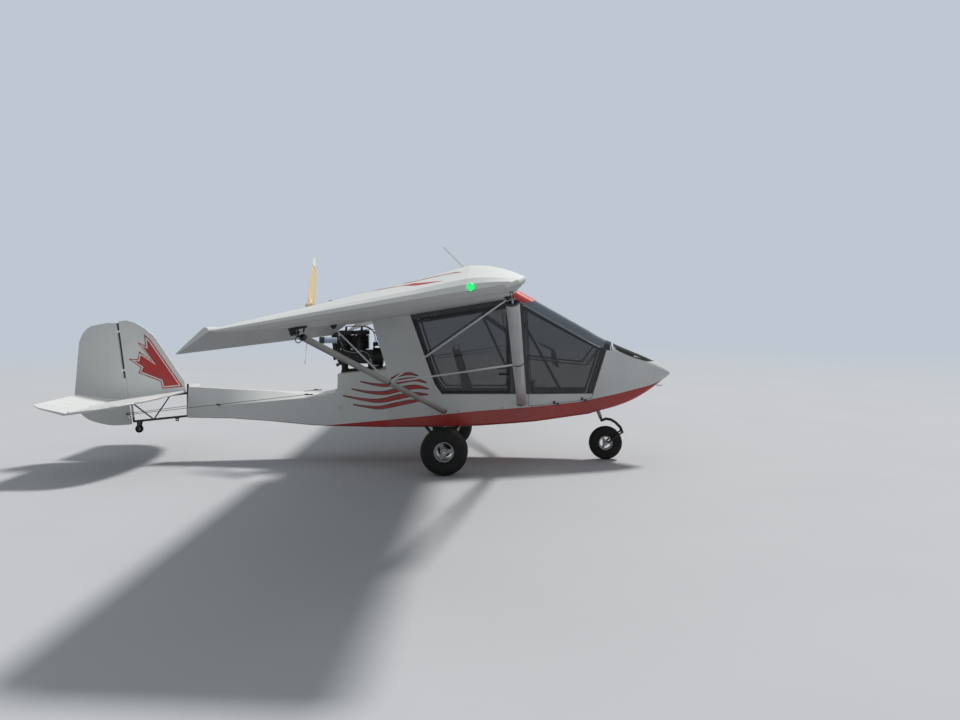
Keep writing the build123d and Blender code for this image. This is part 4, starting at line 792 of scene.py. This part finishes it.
FIN_CORNERS = ((47, 58), (-47, 58), (-47, -58), (47, -58))
FIRST_FIN, FIN_PITCH, HALF_WAY = 1134, 17.5, 9.6
fins = Piece("cooling_fins", "engine_black")
for x in CYLINDERS:
    for k in range(8):
        edge, z = [], FIRST_FIN + FIN_PITCH * k + HALF_WAY
        for q, (dx, dy) in enumerate(FIN_CORNERS):
            for a in (TURN / 4 * q + TURN / 4 * i / 4 for i in range(5)):
                edge.append((x + dx + 25 * math.cos(a), dy + 25 * math.sin(a), z))
        fins.plate(edge, (0, 0, 2.4))
fins.plate([(-188, -76, 1116), (-188, 76, 1116), (-188, 76, 1274), (-188, -76, 1274)], (6, 0, 0))
fins.make()

fuel = Piece("fuel_lines", "wire_white")
fuel.hose([(60, -118, 934), (36, -146, 968), (16, -152, 1000)], 3.6)
fuel.turned((16, -152, 996), (-0.3, 0, 1), [(-4, 5), (0, 11), (44, 11), (48, 5)], 16)
fuel.hose([(2, -152, 1044), (-22, -166, 1092), (-70, -180, 1118), (-105, -172, 1132)], 3.6)
fuel.hose([(-70, -180, 1118), (-150, -188, 1104), (-220, -184, 1114), (-265, -172, 1132)], 3.6)
fuel.make()

throttle = Piece("throttle_cables", "black_steel")
for x, y in ((-105, -118), (-265, -128)):
    route = [(x, -150, 1240), (x + 2, -150, 1274), (x + 34, -146, 1306), (-20, -136, 1334)]
    throttle.hose(route + [(40, y, 1334), (76, y, 1322)], 3.0, 6)
    throttle.turned((x, -150, 1243), (0, 0, 1), [(0, 8), (16, 8), (18, 5), (26, 5)], 12)
    for z, thick in ((1222, 5), (1160, 7)):
        throttle.turned((x, -150, z), (0, 0, 1), [(0, 25.5), (thick, 25.5)], 20)
    clip = [(-26, 1160), (-26, 1118), (0, 1116), (26, 1118), (26, 1160)]
    throttle.rod([(x + dx, -150, z) for dx, z in clip], 1.6, 6)
throttle.make()

clamps = Piece("hose_clamps", "bright_steel")
for x in CYLINDERS:
    for y in (-98, -116):
        clamps.collar((x, y, 1178), (0, -1, 0), 20.8, 22.6, 8, 24)
        clamps.block((x + 4, y - 4, 1201), (14, 8, 6))
for x in (-446, -336):
    clamps.collar((x, -165, 1226), (1, 0, 0), 30, 31.4, 9, 28)
for y in (88, -88):
    for x in (-324, -225, -140, -60, 10):
        clamps.bolt((x, y, 1058.5), (0, 0, 1), 4.6)
for x in CYLINDERS:
    for dx in (-32, 32):
        for y in (-38, 38):
            clamps.bolt((x + dx, y, 1317.5), (0, 0, 1), 6.0)
for cos, sin in circle(3, 0.25):
    clamps.bolt((112, 22 * cos, 1052 + 22 * sin), (1, 0, 0), 5.0)
clamps.make()

springs = Piece("exhaust_springs", "bright_steel")
for x in CYLINDERS:
    springs.collar((x, 88, 1178), (0, 1, 0), 16, 21, 6, 24)
    springs.collar((x, 146, 1178), (0, 1, 0), 16, 20, 5, 24)
    for dx in (-24, 24):
        springs.spiral((x + dx, 95, 1178), (x + dx, 150, 1172), 4.2, 1.1, 9)
        springs.rod([(x + dx, 90, 1178), (x + dx, 96, 1178)], 1.4, 6)
        springs.rod([(x + dx * 0.8, 152, 1172), (x + dx, 150, 1172)], 1.4, 6)
springs.make()

SHAFT, TILT = Vector((-598.0, 0.0, 1553.0)), math.radians(5.0)
AFT, UP = Vector((-math.cos(TILT), 0, -math.sin(TILT))), Vector((-math.sin(TILT), 0, math.cos(TILT)))
BELT_AHEAD, BELT_WIDTH, BELT_T = 198.0, 34.0, 7.0
UPPER_R, LOWER_R, CRANK_Z = 60.0, 32.0, 1052.0
TEETH, TOOTH_HALF = 38, 1.6


def on_shaft(distance, a, b):
    """A point by distance aft of the propeller's bearing, to starboard and up."""
    return SHAFT + AFT * distance + Vector((0, -1, 0)) * a + UP * b


DROP = (SHAFT.z + BELT_AHEAD * math.sin(TILT) - CRANK_Z) / math.cos(TILT)
lean = (UPPER_R - LOWER_R) / DROP
run = math.sqrt(DROP**2 - (UPPER_R - LOWER_R) ** 2)
inside = UPPER_R - BELT_T - TOOTH_HALF
tooth = [(-TOOTH_HALF, -3.0), (TOOTH_HALF, -3.0), (TOOTH_HALF, 3.0), (-TOOTH_HALF, 3.0)]
teeth = Piece("belt_teeth", "rubber_trim")
for _, s in SIDES:
    for k in range(TEETH):
        d = 6.0 + k * (run - 12.0) / (TEETH - 1)
        a = s * (inside * math.sqrt(1 - lean**2) - lean * d)
        b = -inside * lean - math.sqrt(1 - lean**2) * d
        teeth.plate([on_shaft(-BELT_AHEAD, a + da, b + db) for da, db in tooth], AFT * BELT_WIDTH)
teeth.make()
drive = Piece("reduction_bolts", "bright_steel")
for cos, sin in circle(4, 0.5):
    drive.bolt(on_shaft(-220.0, 56 * cos, 56 * sin - DROP), -AFT, 7.0)
    drive.bolt(on_shaft(-220.0, 34 * cos, 34 * sin), -AFT, 6.0)
drive.turned(on_shaft(-214.0, 0, 0), -AFT, [(-2, 22), (8, 22), (9, 20)], 6)
drive.collar(on_shaft(-2.0, 0, 0), AFT, 15, 26, 2.6, 32)
for d in (-150.0, -70.0):
    drive.collar(on_shaft(d, 0, 0), AFT, 29, 34, 12, 32)
drive.make()
hub = Piece("propeller_plate", "bright_steel", "propeller")
hub.turned(on_shaft(70.6, 0, 0), AFT, [(0, 56), (4, 56), (5, 55)], 48)
hub.turned(on_shaft(75.0, 0, 0), AFT, [(0, 20), (6, 20), (8, 17)], 24)
for cos, sin in circle(6):
    hub.bolt(on_shaft(75.4, 42 * cos, 42 * sin), AFT, 7.5)
hub.make()


# Struts: cuffs at both ends, a band near the middle, bolts, and the tie-down ring at the rear head

FOOT_Y, HEAD_Y, HEAD_DROP = 328.0, 3050.0, -52.0
# Columns: foot, head, width and thickness of the section
STRUTS = [(Vector((1529.0, FOOT_Y, 600.0)), wing_point(52.0, HEAD_DROP, HEAD_Y), 97.0, 36.0)]
STRUTS += [(Vector((767.0, FOOT_Y, 523.0)), wing_point(1545.0, HEAD_DROP, HEAD_Y), 52.0, 28.0)]
WING_AFT = Vector((-math.cos(INCIDENCE), 0, -math.sin(INCIDENCE)))
CHEEK = [(-158, 1428), (-122, 1434), (-126, 1396), (-146, 1390)]
# Columns: distance out, thickness, outline (x, z)
HEAD_PLATES = [(3038, 3, [(-112, 1378), (-84, 1378), (-90, 1408), (-108, 1408)])]
HEAD_PLATES += [(3034, 34, [(-160, 1438), (-38, 1458), (-38, 1442), (-160, 1422)])]
HEAD_PLATES += [(3036, 4, CHEEK), (3060, 4, CHEEK)]


def flip(p, s):
    """A port point, or its twin to starboard."""
    p = Vector(p)
    return Vector((p.x, p.y * s, p.z))


def strut_axes(foot, head):
    """The ways along a strut, along its section's chord and through its thickness."""
    axis = (head - foot).normalized()
    chord = Vector((1, 0, -axis.x / axis.z)).normalized()
    return axis, chord, axis.cross(chord).normalized()


def lens(centre, chord_dir, thick_dir, width, thick):
    """A ring of points round a faired section."""
    made = []
    for sign in (1, -1):
        for i in range(8):
            t = -1 + i / 4
            bulge = thick_dir * sign * thick / 2 * (1 - t * t)
            made.append(centre + chord_dir * width / 2 * t * sign + bulge)
    return made


for side, s in SIDES:
    cuffs = Piece("strut_cuffs_" + side, "black_steel")
    pins = Piece("strut_bolts_" + side, "bright_steel")
    for foot, head, width, thick in STRUTS:
        axis, chord, across = strut_axes(foot, head)
        length = (head - foot).length
        for d0, d1 in ((4.0, 40.0), (length - 104.0, length - 58.0)):
            rings = []
            for d, grow in ((d0, 1.0), (d0 + 2.0, 1.05), (d1 - 2.0, 1.05), (d1, 1.0)):
                rings.append(lens(foot + axis * d, chord, across, width * grow, thick * (grow + 0.04)))
            cuffs.hoops([[flip(p, s) for p in ring] for ring in rings])
        for sign in (1, -1):
            spot = foot + axis * 24.0 + across * sign * thick * 0.53
            pins.bolt(flip(spot, s), flip(across * sign, s), 6.0)
        for sign in (1, -1):
            pins.bolt(flip(head + WING_AFT * sign * 11.8, s), flip(WING_AFT * sign, s), 8.0)
    for foot, head, width, thick in STRUTS:
        axis, chord, across = strut_axes(foot, head)
        middle = foot + (head - foot) * 0.47
        ends = [lens(middle + axis * d, chord, across, width + 3.0, thick + 3.0) for d in (-16.0, 16.0)]
        cuffs.hoops([[flip(p, s) for p in ring] for ring in ends])
    cuffs.rod([(-95 + 21 * cos, HEAD_Y * s, 1360 + 21 * sin) for cos, sin in circle(28)], 3.4, 8, True)
    for y, thick, shape in HEAD_PLATES:
        cuffs.plate([(x, y * s, z) for x, z in shape], (0, thick * s, 0))
    cuffs.turned((-136, 3041 * s, 1404), (0, s, 0), [(0, 17), (3, 19), (9, 14), (15, 19), (18, 17)], 20)
    cuffs.rod([(-60, HEAD_Y * s, 1410), (-52, HEAD_Y * s, 1446)], 6.0)
    cuffs.rod([(-118, HEAD_Y * s, 1404), (-84, HEAD_Y * s, 1412)], 4.5)
    cuffs.make()
    pins.make()


# Tail: rudder horn and cables, fairleads, edge tubes, tapes on the tail surfaces


def hinge_x(z):
    """The rudder's leaning hinge line."""
    return -2474.0 - (z - 357.0) * 142.0 / 1037.0


HORN_Z = 466.0
for side, s in SIDES:
    x, z = hinge_x(HORN_Z), HORN_Z
    horn = Piece("rudder_horn_" + side, "black_steel", "rudder")
    shape = [(x - 26, 6), (x + 4, 12), (x + 14, 88), (x - 2, 94), (x - 30, 14)]
    horn.plate([(a, b * s, z) for a, b in shape], (0, 0, 4))
    horn.bolt((x + 5, 84 * s, z + 4), (0, 0, 1), 4.0).make()
    cable = Piece("rudder_cable_" + side, "black_steel", None)
    thing = cable.rod(along((-600, 240 * s, 688), (x + 5, 84 * s, z - 2), 120.0), 2.6, 6).make()
    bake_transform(thing)
    lead = Piece("cable_fairlead_" + side, "black_steel")
    outlet = [(-650, 231 * s, 680), (-560, 243 * s, 682), (-560, 222 * s, 683), (-650, 208 * s, 681)]
    lead.plate(outlet, (0, 0, 8))
    lead.turned((-612, 239 * s, 689), (-1, -0.06 * s, -0.12), [(0, 9), (16, 7), (30, 5)], 14)
    stay = [(-1552, 94 * s, 560), (-1530, 97 * s, 560), (-1530, 160 * s, 572), (-1552, 160 * s, 572)]
    lead.plate(stay, (0, 0, 12))
    lead.make()

# Edge tubes: points (x, z) of the fin's and rudder's edges, (x, y) of the tailplane's port tip
FIN_EDGE = [(-1936, 804), (-2020, 926), (-2110, 1060), (-2196, 1188), (-2256, 1266), (-2330, 1330)]
FIN_EDGE += [(-2424, 1384), (-2516, 1411), (-2594, 1403)]
RUDDER_EDGE = [(-2494, 362), (-2660, 355), (-2780, 374), (-2893, 408), (-2964, 455), (-3002, 506)]
RUDDER_EDGE += [(-3028, 576), (-3040, 652), (-3022, 900), (-3008, 1080), (-2995, 1196), (-2978, 1246)]
RUDDER_EDGE += [(-2953, 1293), (-2918, 1330), (-2876, 1355), (-2800, 1374), (-2719, 1386), (-2634, 1384)]
TIP_EDGE = [(-1921, 12), (-1938, 260), (-1961, 496), (-2008, 700), (-2068, 890), (-2130, 1000)]
TIP_EDGE += [(-2206, 1091), (-2292, 1156), (-2394, 1194), (-2552, 1214)]
EDGE_R = 9.8
EDGE_TUBES = [("fin_edge_tube", "airframe", FIN_EDGE), ("rudder_edge_tube", "rudder", RUDDER_EDGE)]
for name, body, edge in EDGE_TUBES:
    Piece(name, "covering_white", body).rod(smooth_path([(x, 0, z) for x, z in edge], 4), EDGE_R, 10).make()
rim = Piece("tailplane_edge_tubes", "covering_white")
for _, s in SIDES:
    rim.rod(smooth_path([(x, y * s, 696 + (x + 1910) * 83 / 652) for x, y in TIP_EDGE], 4), EDGE_R, 10)
rim.make()


def tape(p, q, across):
    """A strip of quads from p to q, reaching out both ways by the vector across."""
    line, way = along(p, q, 60.0), Vector(across)
    return [[a - way, b - way, b + way, a + way] for a, b in zip(line[:-1], line[1:])]


# Columns: the tape's height, its front end
FIN_TAPES = [(z, -1960) for z in (860, 1060, 1250)]
RUDDER_TAPES = [(z, hinge_x(z) - 40) for z in (480, 640, 820, 1010, 1190)]
# Columns: node, body, back end, tapes
UPRIGHT_TAPES = [("fin", "airframe", -2470, FIN_TAPES), ("rudder", "rudder", -3030, RUDDER_TAPES)]
for node, body, back, tapes in UPRIGHT_TAPES:
    for side, s in SIDES:
        strips = []
        for z, front in tapes:
            strips += tape((back, 300 * s, z), (front, 300 * s, z + 26), (0, 0, 11))
        laid(node + "_tapes_" + side, "covering_white", strips, surface(node), (0, -s, 0), body, 0.5)
# Columns: piece, node, body, back and front end
FLAT_TAPES = [("tailplane", "tailplane", "airframe", -2550, -1920)]
FLAT_TAPES += [("elevator", "elevators", "elevators", -2890, -2590)]
for side, s in SIDES:
    for name, node, body, back, front in FLAT_TAPES:
        strips = []
        for y in (230, 420, 610, 800, 990):
            strips += tape((back, y * s, 1000), (front, y * s, 1000), (0, 10, 0))
        laid(name + "_tapes_" + side, "covering_white", strips, surface(node), DOWN, body, 0.5)


# Rivets and screws along the joins, stitching pips on the wing ribs, inspection and drain rings, lamp bases

BAND = [(785, 503), (1113, 535), (1668, 577), (2084, 618), (2510, 700), (2820, 770), (3000, 826)]
SEAMS = [[(2300, 720), (2440, 1120)], [(-270, 912), (170, 930)]]
SEAMS += [[(212, 480), (212, 900)], [(60, 1400), (186, 975)]]
SILL_SCREWS = [(1336, 566), (1700, 608), (900, 530), (640, 506)]
PANELS = ["side_panel_left", "side_panel_right", "nose_cowl", "windscreen_cap", "engine_deck", "tail_boom"]
panels = surface(*PANELS)
belly = surface("belly_pan")


def beside_band(lift, s):
    """Points beside the join of belly and pod, well outside it."""
    points = []
    for (x0, z0), (x1, z1) in zip(BAND[:-1], BAND[1:]):
        points += along((x0, 600 * s, z0 + lift), (x1, 600 * s, z1 + lift), 76.0)[:-1]
    return points


heads = Piece("panel_rivets", "rivet_white")
for _, s in SIDES:
    for at, out in landings(panels, beside_band(13, s), (0, -s, 0)):
        heads.dome(at, out, 3.0)
    for (x0, z0), (x1, z1) in SEAMS:
        for at, out in landings(panels, along((x0, 600 * s, z0), (x1, 600 * s, z1), 62.0), (0, -s, 0)):
            heads.dome(at, out, 3.2)
heads.make()
heads = Piece("belly_rivets", "rivet_red")
dots = Piece("sill_screws", "black_steel")
for _, s in SIDES:
    for at, out in landings(belly, beside_band(-13, s), (0, -s, 0)):
        heads.dome(at, out, 3.0)
    for at, out in landings(panels, [(x, 600 * s, z) for x, z in SILL_SCREWS], (0, -s, 0)):
        dots.bolt(at, out, 5.5)
heads.make()
dots.make()
rings = Piece("inspection_rings", "rivet_white")
for side, s in SIDES:
    under_wing = landing(surface("wing_" + side), (700, 1700 * s, 800), (0, 0, 1))
    for at, out in (landing(panels, (-283, 600 * s, 556), (0, -s, 0)), under_wing):
        rings.turned(at, out, [(-0.5, 27), (0.8, 27), (1.6, 24), (1.6, 19), (0.6, 17)], 28)
rings.make()

for side, s in SIDES:
    skin = surface("wing_" + side)
    pips = Piece("rib_stitching_" + side, "rivet_white")
    for rib in range(8):
        y = s * (345.0 + 572.6 * rib)
        for chord in range(120, 1560, 80):
            for way in (-1, 1):
                for at, out in landings(skin, [wing_point(chord, -300.0 * way, y)], (0, 0, way)):
                    pips.turned(at, out, [(-0.2, 4.4), (0.8, 3.2), (1.0, 1.6)], 6)
    pips.make()
    drains = Piece("drain_rings_" + side, "bright_steel")
    spots = [wing_point(1520, -300.0, s * y) for y in range(700, 4301, 600)]
    for at, out in landings(skin, spots, (0, 0, 1)):
        drains.turned(at, out, [(-0.2, 9), (0.9, 9), (1.3, 7), (1.3, 4), (0.2, 3.6)], 16)
    drains.make()
    lamp = Piece("lamp_base_" + side, "black_steel")
    centre = wing_point(290.0, 16.0, s * 4778.0) + Vector((0, -12 * s, 0))
    lamp.turned(centre, (0, s, 0), [(0, 24), (10, 24.6), (12, 23)], 28).make()


# Doors: rubber seals, hinge screws, handle sleeves; the strip at the windscreen's foot

# Columns: door, corners of its window (x, z)
WINDOWS = [("rear_door_", [(770, 727), (694, 806), (594, 1076), (489, 1404), (1385, 1552), (1385, 727)])]
WINDOWS += [("front_door_", [(1622, 707), (2216, 707), (2346, 1120), (2192, 1194), (1578, 1526)])]
SLEEVE = [(0, 7.5), (4, 9), (60, 9), (66, 10), (76, 9), (80, 5)]


def hinge_z(x):
    """The rear doors' hinge line, under the wing's root."""
    return WING_LE[1] - (WING_LE[0] - x) * math.tan(INCIDENCE) - 58.0


def hinge_screws(name, body, s, ears, steps, lift):
    """Screw heads on the ears of a rear door's hinge, over or under the hinge line."""
    screws = Piece(name, "bright_steel", body)
    for x in (ear + step for ear in ears for step in steps):
        screws.dome((x, 334 * s, hinge_z(x) + lift), (0, s, 0), 3.6)
    return screws


for side, s in SIDES:
    for door, corners in WINDOWS:
        node = door + side
        tree = surface(node, node.replace("door", "door_glass"))
        run = smooth_path([(x, 600 * s, z) for x, z in corners + corners[:1]], 1)
        points = [p for a, b in zip(run[:-1], run[1:]) for p in along(a, b, 90.0)[:-1]]
        seal = Piece("seal_" + node, "rubber_trim", node)
        seal.rod([at for at, _ in landings(tree, points, (0, -s, 0))], 3.4, 6, True).make()
    rear_door = "rear_door_" + side
    hinge_screws("hinge_screws_" + side, "airframe", s, (620, 1290), (12, 48), 19.0).make()
    screws = hinge_screws("door_hinge_screws_" + side, rear_door, s, (560, 1230), (14, 44), -17.0)
    screws.dome((1394, 331 * s, 872), (0, s, 0), 4.0).make()
    knob = Piece("handle_sleeve_" + side, "rubber_trim", rear_door)
    knob.turned((1380, 358 * s, 900), (-1, 0, 0), SLEEVE, 16).make()

glass_top = surface("windscreen", "nose_cowl")
foot = landings(glass_top, [(2426.0, -250.0 + 500.0 * k / 24, 1600.0) for k in range(25)], DOWN)
strip = Piece("windscreen_foot_strip", "rubber_trim")
strip.rod([at + Vector((0, 0, 1.0)) for at, _ in foot], 4.0, 6).make()


# Cabin: padded seats with piping and harness, instruments, stick grip, pedals, throttle

CUSHION_HALF, VOXEL, PUFF_FRAMES, PUFF_LIMIT = 172.0, 0.012, 14, 0.018


def applied(thing):
    """Gives an object the mesh that its modifiers make of it."""
    graph = bpy.context.evaluated_depsgraph_get()
    mesh = bpy.data.meshes.new_from_object(thing.evaluated_get(graph))
    thing.modifiers.clear()
    thing.data = mesh
    return mesh


def puffed(name, outline, nodes_for=()):
    """A cushion blown up by cloth from a slightly smaller block, then softened."""
    corners = [Vector((x, -CUSHION_HALF, z)) for x, z in outline]
    thing = Piece(name, "seat_cloth").plate(corners, (0, 2 * CUSHION_HALF, 0)).make()
    remesh = thing.modifiers.new("remesh", "REMESH")
    remesh.mode, remesh.voxel_size = "VOXEL", VOXEL
    mesh = applied(thing)
    dress(thing, "seat_cloth")
    rest = [v.co.copy() for v in mesh.vertices]
    cushion = thing.modifiers.new("puff", "CLOTH")
    cushion.settings.use_pressure = True
    cushion.settings.uniform_pressure_force = 4.0
    cushion.settings.effector_weights.gravity = 0.0
    for number in range(1, PUFF_FRAMES + 1):
        scene.frame_set(number)
    graph = bpy.context.evaluated_depsgraph_get()
    blown = thing.evaluated_get(graph).to_mesh()
    moved = [v.co.copy() for v in blown.vertices]
    thing.modifiers.clear()
    scene.frame_set(1)
    for v, a, b in zip(mesh.vertices, rest, moved):
        step = b - a
        v.co = a + step * min(1.0, PUFF_LIMIT / max(step.length, 1e-6))
    soften = thing.modifiers.new("soften", "SMOOTH")
    soften.factor, soften.iterations = 0.5, 4
    applied(thing).shade_smooth()
    dress(thing, "seat_cloth")
    thing.modifiers.new("round", "SUBSURF").levels = 1
    if nodes_for:
        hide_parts(*nodes_for)


# Columns: seat, x of the cushion's front, height
for name, x, z in (("front", 1480.0, 610.0), ("rear", 820.0, 640.0)):
    seat = "seat_" + name
    pan = [(x - 16, z - 14), (x - 14, z - 46), (x - 380, z - 86), (x - 402, z - 50), (x - 396, z - 46)]
    back = [(x - 428, z - 26), (x - 470, z - 46), (x - 634, z + 520), (x - 604, z + 540)]
    puffed(seat + "_pan", pan, (seat,))
    puffed(seat + "_back", back)
    seams = Piece(seat + "_piping", "rubber_trim")
    for y in (-58, 58):
        seams.rod([(x - 20, y, z - 2), (x - 150, y, z - 14), (x - 390, y, z - 32)], 2.4, 6)
        seams.rod([(x - 414, y, z - 8), (x - 520, y, z + 260), (x - 592, y, z + 520)], 2.4, 6)
    seams.make()
    edge = [(x - 10, z - 54), (x - 440, z - 104), (x - 488, z - 62), (x - 652, z + 536)]
    edge += [(a + 5, b + 8) for a, b in reversed(edge)]
    Piece(seat + "_shell", "black_steel").plate([(a, -188, b) for a, b in edge], (0, 376, 0)).make(40.0, 2.0)
    straps = Piece(seat + "_harness", "webbing")
    for _, s in SIDES:
        line = [(x - 640, 60 * s, z + 550), (x - 606, 62 * s, z + 566), (x - 580, 66 * s, z + 520)]
        line += [(x - 500, 84 * s, z + 260), (x - 400, 100 * s, z + 20), (x - 300, 60 * s, z + 4)]
        line = smooth_path(line + [(x - 250, 20 * s, z + 2)], 5)
        hoops = []
        for p, q in zip(line[:-1], line[1:]):
            run = (q - p).normalized()
            across = (Vector((0, 1, 0)) - run * run.y).normalized()
            out = across.cross(run)
            hoops.append([p + across * a + out * b for a, b in ((-22, -1), (22, -1), (22, 1), (-22, 1))])
        straps.hoops(hoops)
    straps.block((x - 244, 0, z + 6), (56, 50, 14)).make(30.0)

PORT = Vector((0, 1, 0))
PANEL_AT, PANEL_UP, PANEL_OUT = Vector((1885, 0, 955)), Vector((-0.21, 0, 0.978)), Vector((-0.978, 0, -0.21))
bezels = Piece("dial_bezels", "black_steel")
marks = Piece("dial_marks", "dial_white")
knobs = Piece("panel_knobs", "bright_steel")
# Columns: y, height up the panel, radius
DIALS = [(-190, 96, 38), (-100, 98, 38), (-10, 98, 38), (80, 98, 38)]
DIALS += [(164, 96, 30), (-150, 34, 24), (-80, 34, 24), (120, 34, 24)]
for y, up, r in DIALS:
    at = PANEL_AT + Vector((0, y, 0)) + PANEL_UP * up
    bezels.turned(at, PANEL_OUT, [(-6, r), (8, r), (11, r - 3), (7, r - 5), (6, 2)], 32)
    for k in range(10):
        a = math.radians(-130.0 + 260.0 * k / 9)
        way = PORT * math.sin(a) + PANEL_UP * math.cos(a)
        marks.rod([at + PANEL_OUT * 7.6 + way * (r - 12), at + PANEL_OUT * 7.6 + way * (r - 7)], 0.8, 5)
    way = PORT * math.sin(-0.8) + PANEL_UP * math.cos(-0.8)
    marks.rod([at + PANEL_OUT * 8.4 - way * 5, at + PANEL_OUT * 8.4 + way * (r - 13)], 1.0, 5)
for y in (-30, 0, 30, 60, 90):
    at = PANEL_AT + Vector((0, y, 0)) + PANEL_UP * 22
    knobs.turned(at, PANEL_OUT, [(-4, 7), (2, 7), (3, 4), (16, 4), (18, 6), (26, 6), (28, 4)], 14)
for piece in (bezels, marks, knobs):
    piece.make()

GRIP = [(0, 11), (4, 15), (20, 17), (34, 15), (50, 17), (66, 15), (84, 17), (98, 15), (104, 8)]
Piece("stick_grip", "rubber_trim").turned((1654, 0, 702), (-0.176, 0, 0.984), GRIP, 18).make()
controls = Piece("pedals_and_levers", "bare_tube")
for y in (-95, 95):
    controls.rod([(2150, y - 46, 585), (2150, y + 46, 585)], 8.0)
    controls.rod([(2150, y, 585), (2185, y, 532)], 6.0)
controls.rod([(1700, 292, 640), (1700, 262, 640), (1676, 262, 760)], 7.0).make()
knob = Piece("throttle_knob", "wire_red")
knob.turned((1676, 262, 756), (-0.2, 0, 0.98), [(0, 8), (6, 14), (22, 15), (32, 9)], 16).make()
braces = Piece("cabin_dark_tubes", "black_steel")
for _, s in SIDES:
    braces.rod([(1130, 282 * s, 1480), (1440, 282 * s, 812)], 9.0)
    for lift in (0, 26):
        braces.rod([(1143, 286 * s, 1468 + lift), (1384, 286 * s, 1298 + lift)], 6.0)
braces.make()


# Studio: a pale floor that fades into the backdrop, a soft sun ahead and to port, an even sky

BACKDROP = srgb(190, 199, 210)
SKY = (0.90, 0.95, 1.0, 1.0)
FLOOR_R, FLOOR_Z = 90.0, -0.002


def floor_material():
    """Pale as it is seen, darker for the light that it throws back, and lost in the haze far off."""
    made = Shader("studio_floor", Roughness=0.85)
    shown = made.ramp(made.noise(0.8, 6.0), (0.3, srgb(186, 188, 191)), (0.7, srgb(189, 191, 194)))
    far = made.node("VectorMath", made.place(), operation="LENGTH").node.outputs["Value"]
    fade = made.node("MapRange", far, 7.0, 26.0, 0.0, 1.0, interpolation_type="SMOOTHSTEP")
    ways = made.node("LightPath").node.outputs
    seen = made.either(made.either(ways["Is Camera Ray"], ways["Is Glossy Ray"]), ways["Is Transmission Ray"])
    made.colour(made.blend(seen, srgb(128, 129, 131), shown))
    haze = made.node("Emission", BACKDROP)
    mixed = made.node("MixShader", fade, made.bsdf.outputs[0], haze)
    made.tree.links.new(mixed, made.tree.nodes["Material Output"].inputs[0])
    return made


corners = [(x * FLOOR_R, y * FLOOR_R, FLOOR_Z) for x, y in ((-1, -1), (1, -1), (1, 1), (-1, 1))]
floor_mesh = bpy.data.meshes.new("studio_floor")
floor_mesh.from_pydata(corners, [], [(0, 1, 2, 3)])
floor = bpy.data.objects.new("studio_floor", floor_mesh)
scene.collection.objects.link(floor)
dress(floor, floor_material())

sun = bpy.data.lights.new("soft_sun", "SUN")
sun.energy, sun.angle, sun.color = 2.7, math.radians(9.0), (1.0, 0.98, 0.95)
sun_object = bpy.data.objects.new("soft_sun", sun)
sun_object.rotation_euler = Vector((0.43, 0.50, 1.0)).to_track_quat("Z", "Y").to_euler()
scene.collection.objects.link(sun_object)

world = bpy.data.worlds.new("studio_air")
world.use_nodes = True
scene.world = world
tree = world.node_tree
sky, sight = tree.nodes["Background"], tree.nodes.new("ShaderNodeBackground")
for shown, tint, strength in ((sky, SKY, 0.42), (sight, BACKDROP, 1.0)):
    shown.inputs["Color"].default_value = tint
    shown.inputs["Strength"].default_value = strength
path = tree.nodes.new("ShaderNodeLightPath")
either = tree.nodes.new("ShaderNodeMixShader")
tree.links.new(path.outputs["Is Camera Ray"], either.inputs[0])
tree.links.new(sky.outputs[0], either.inputs[1])
tree.links.new(sight.outputs[0], either.inputs[2])
tree.links.new(either.outputs[0], tree.nodes["World Output"].inputs[0])
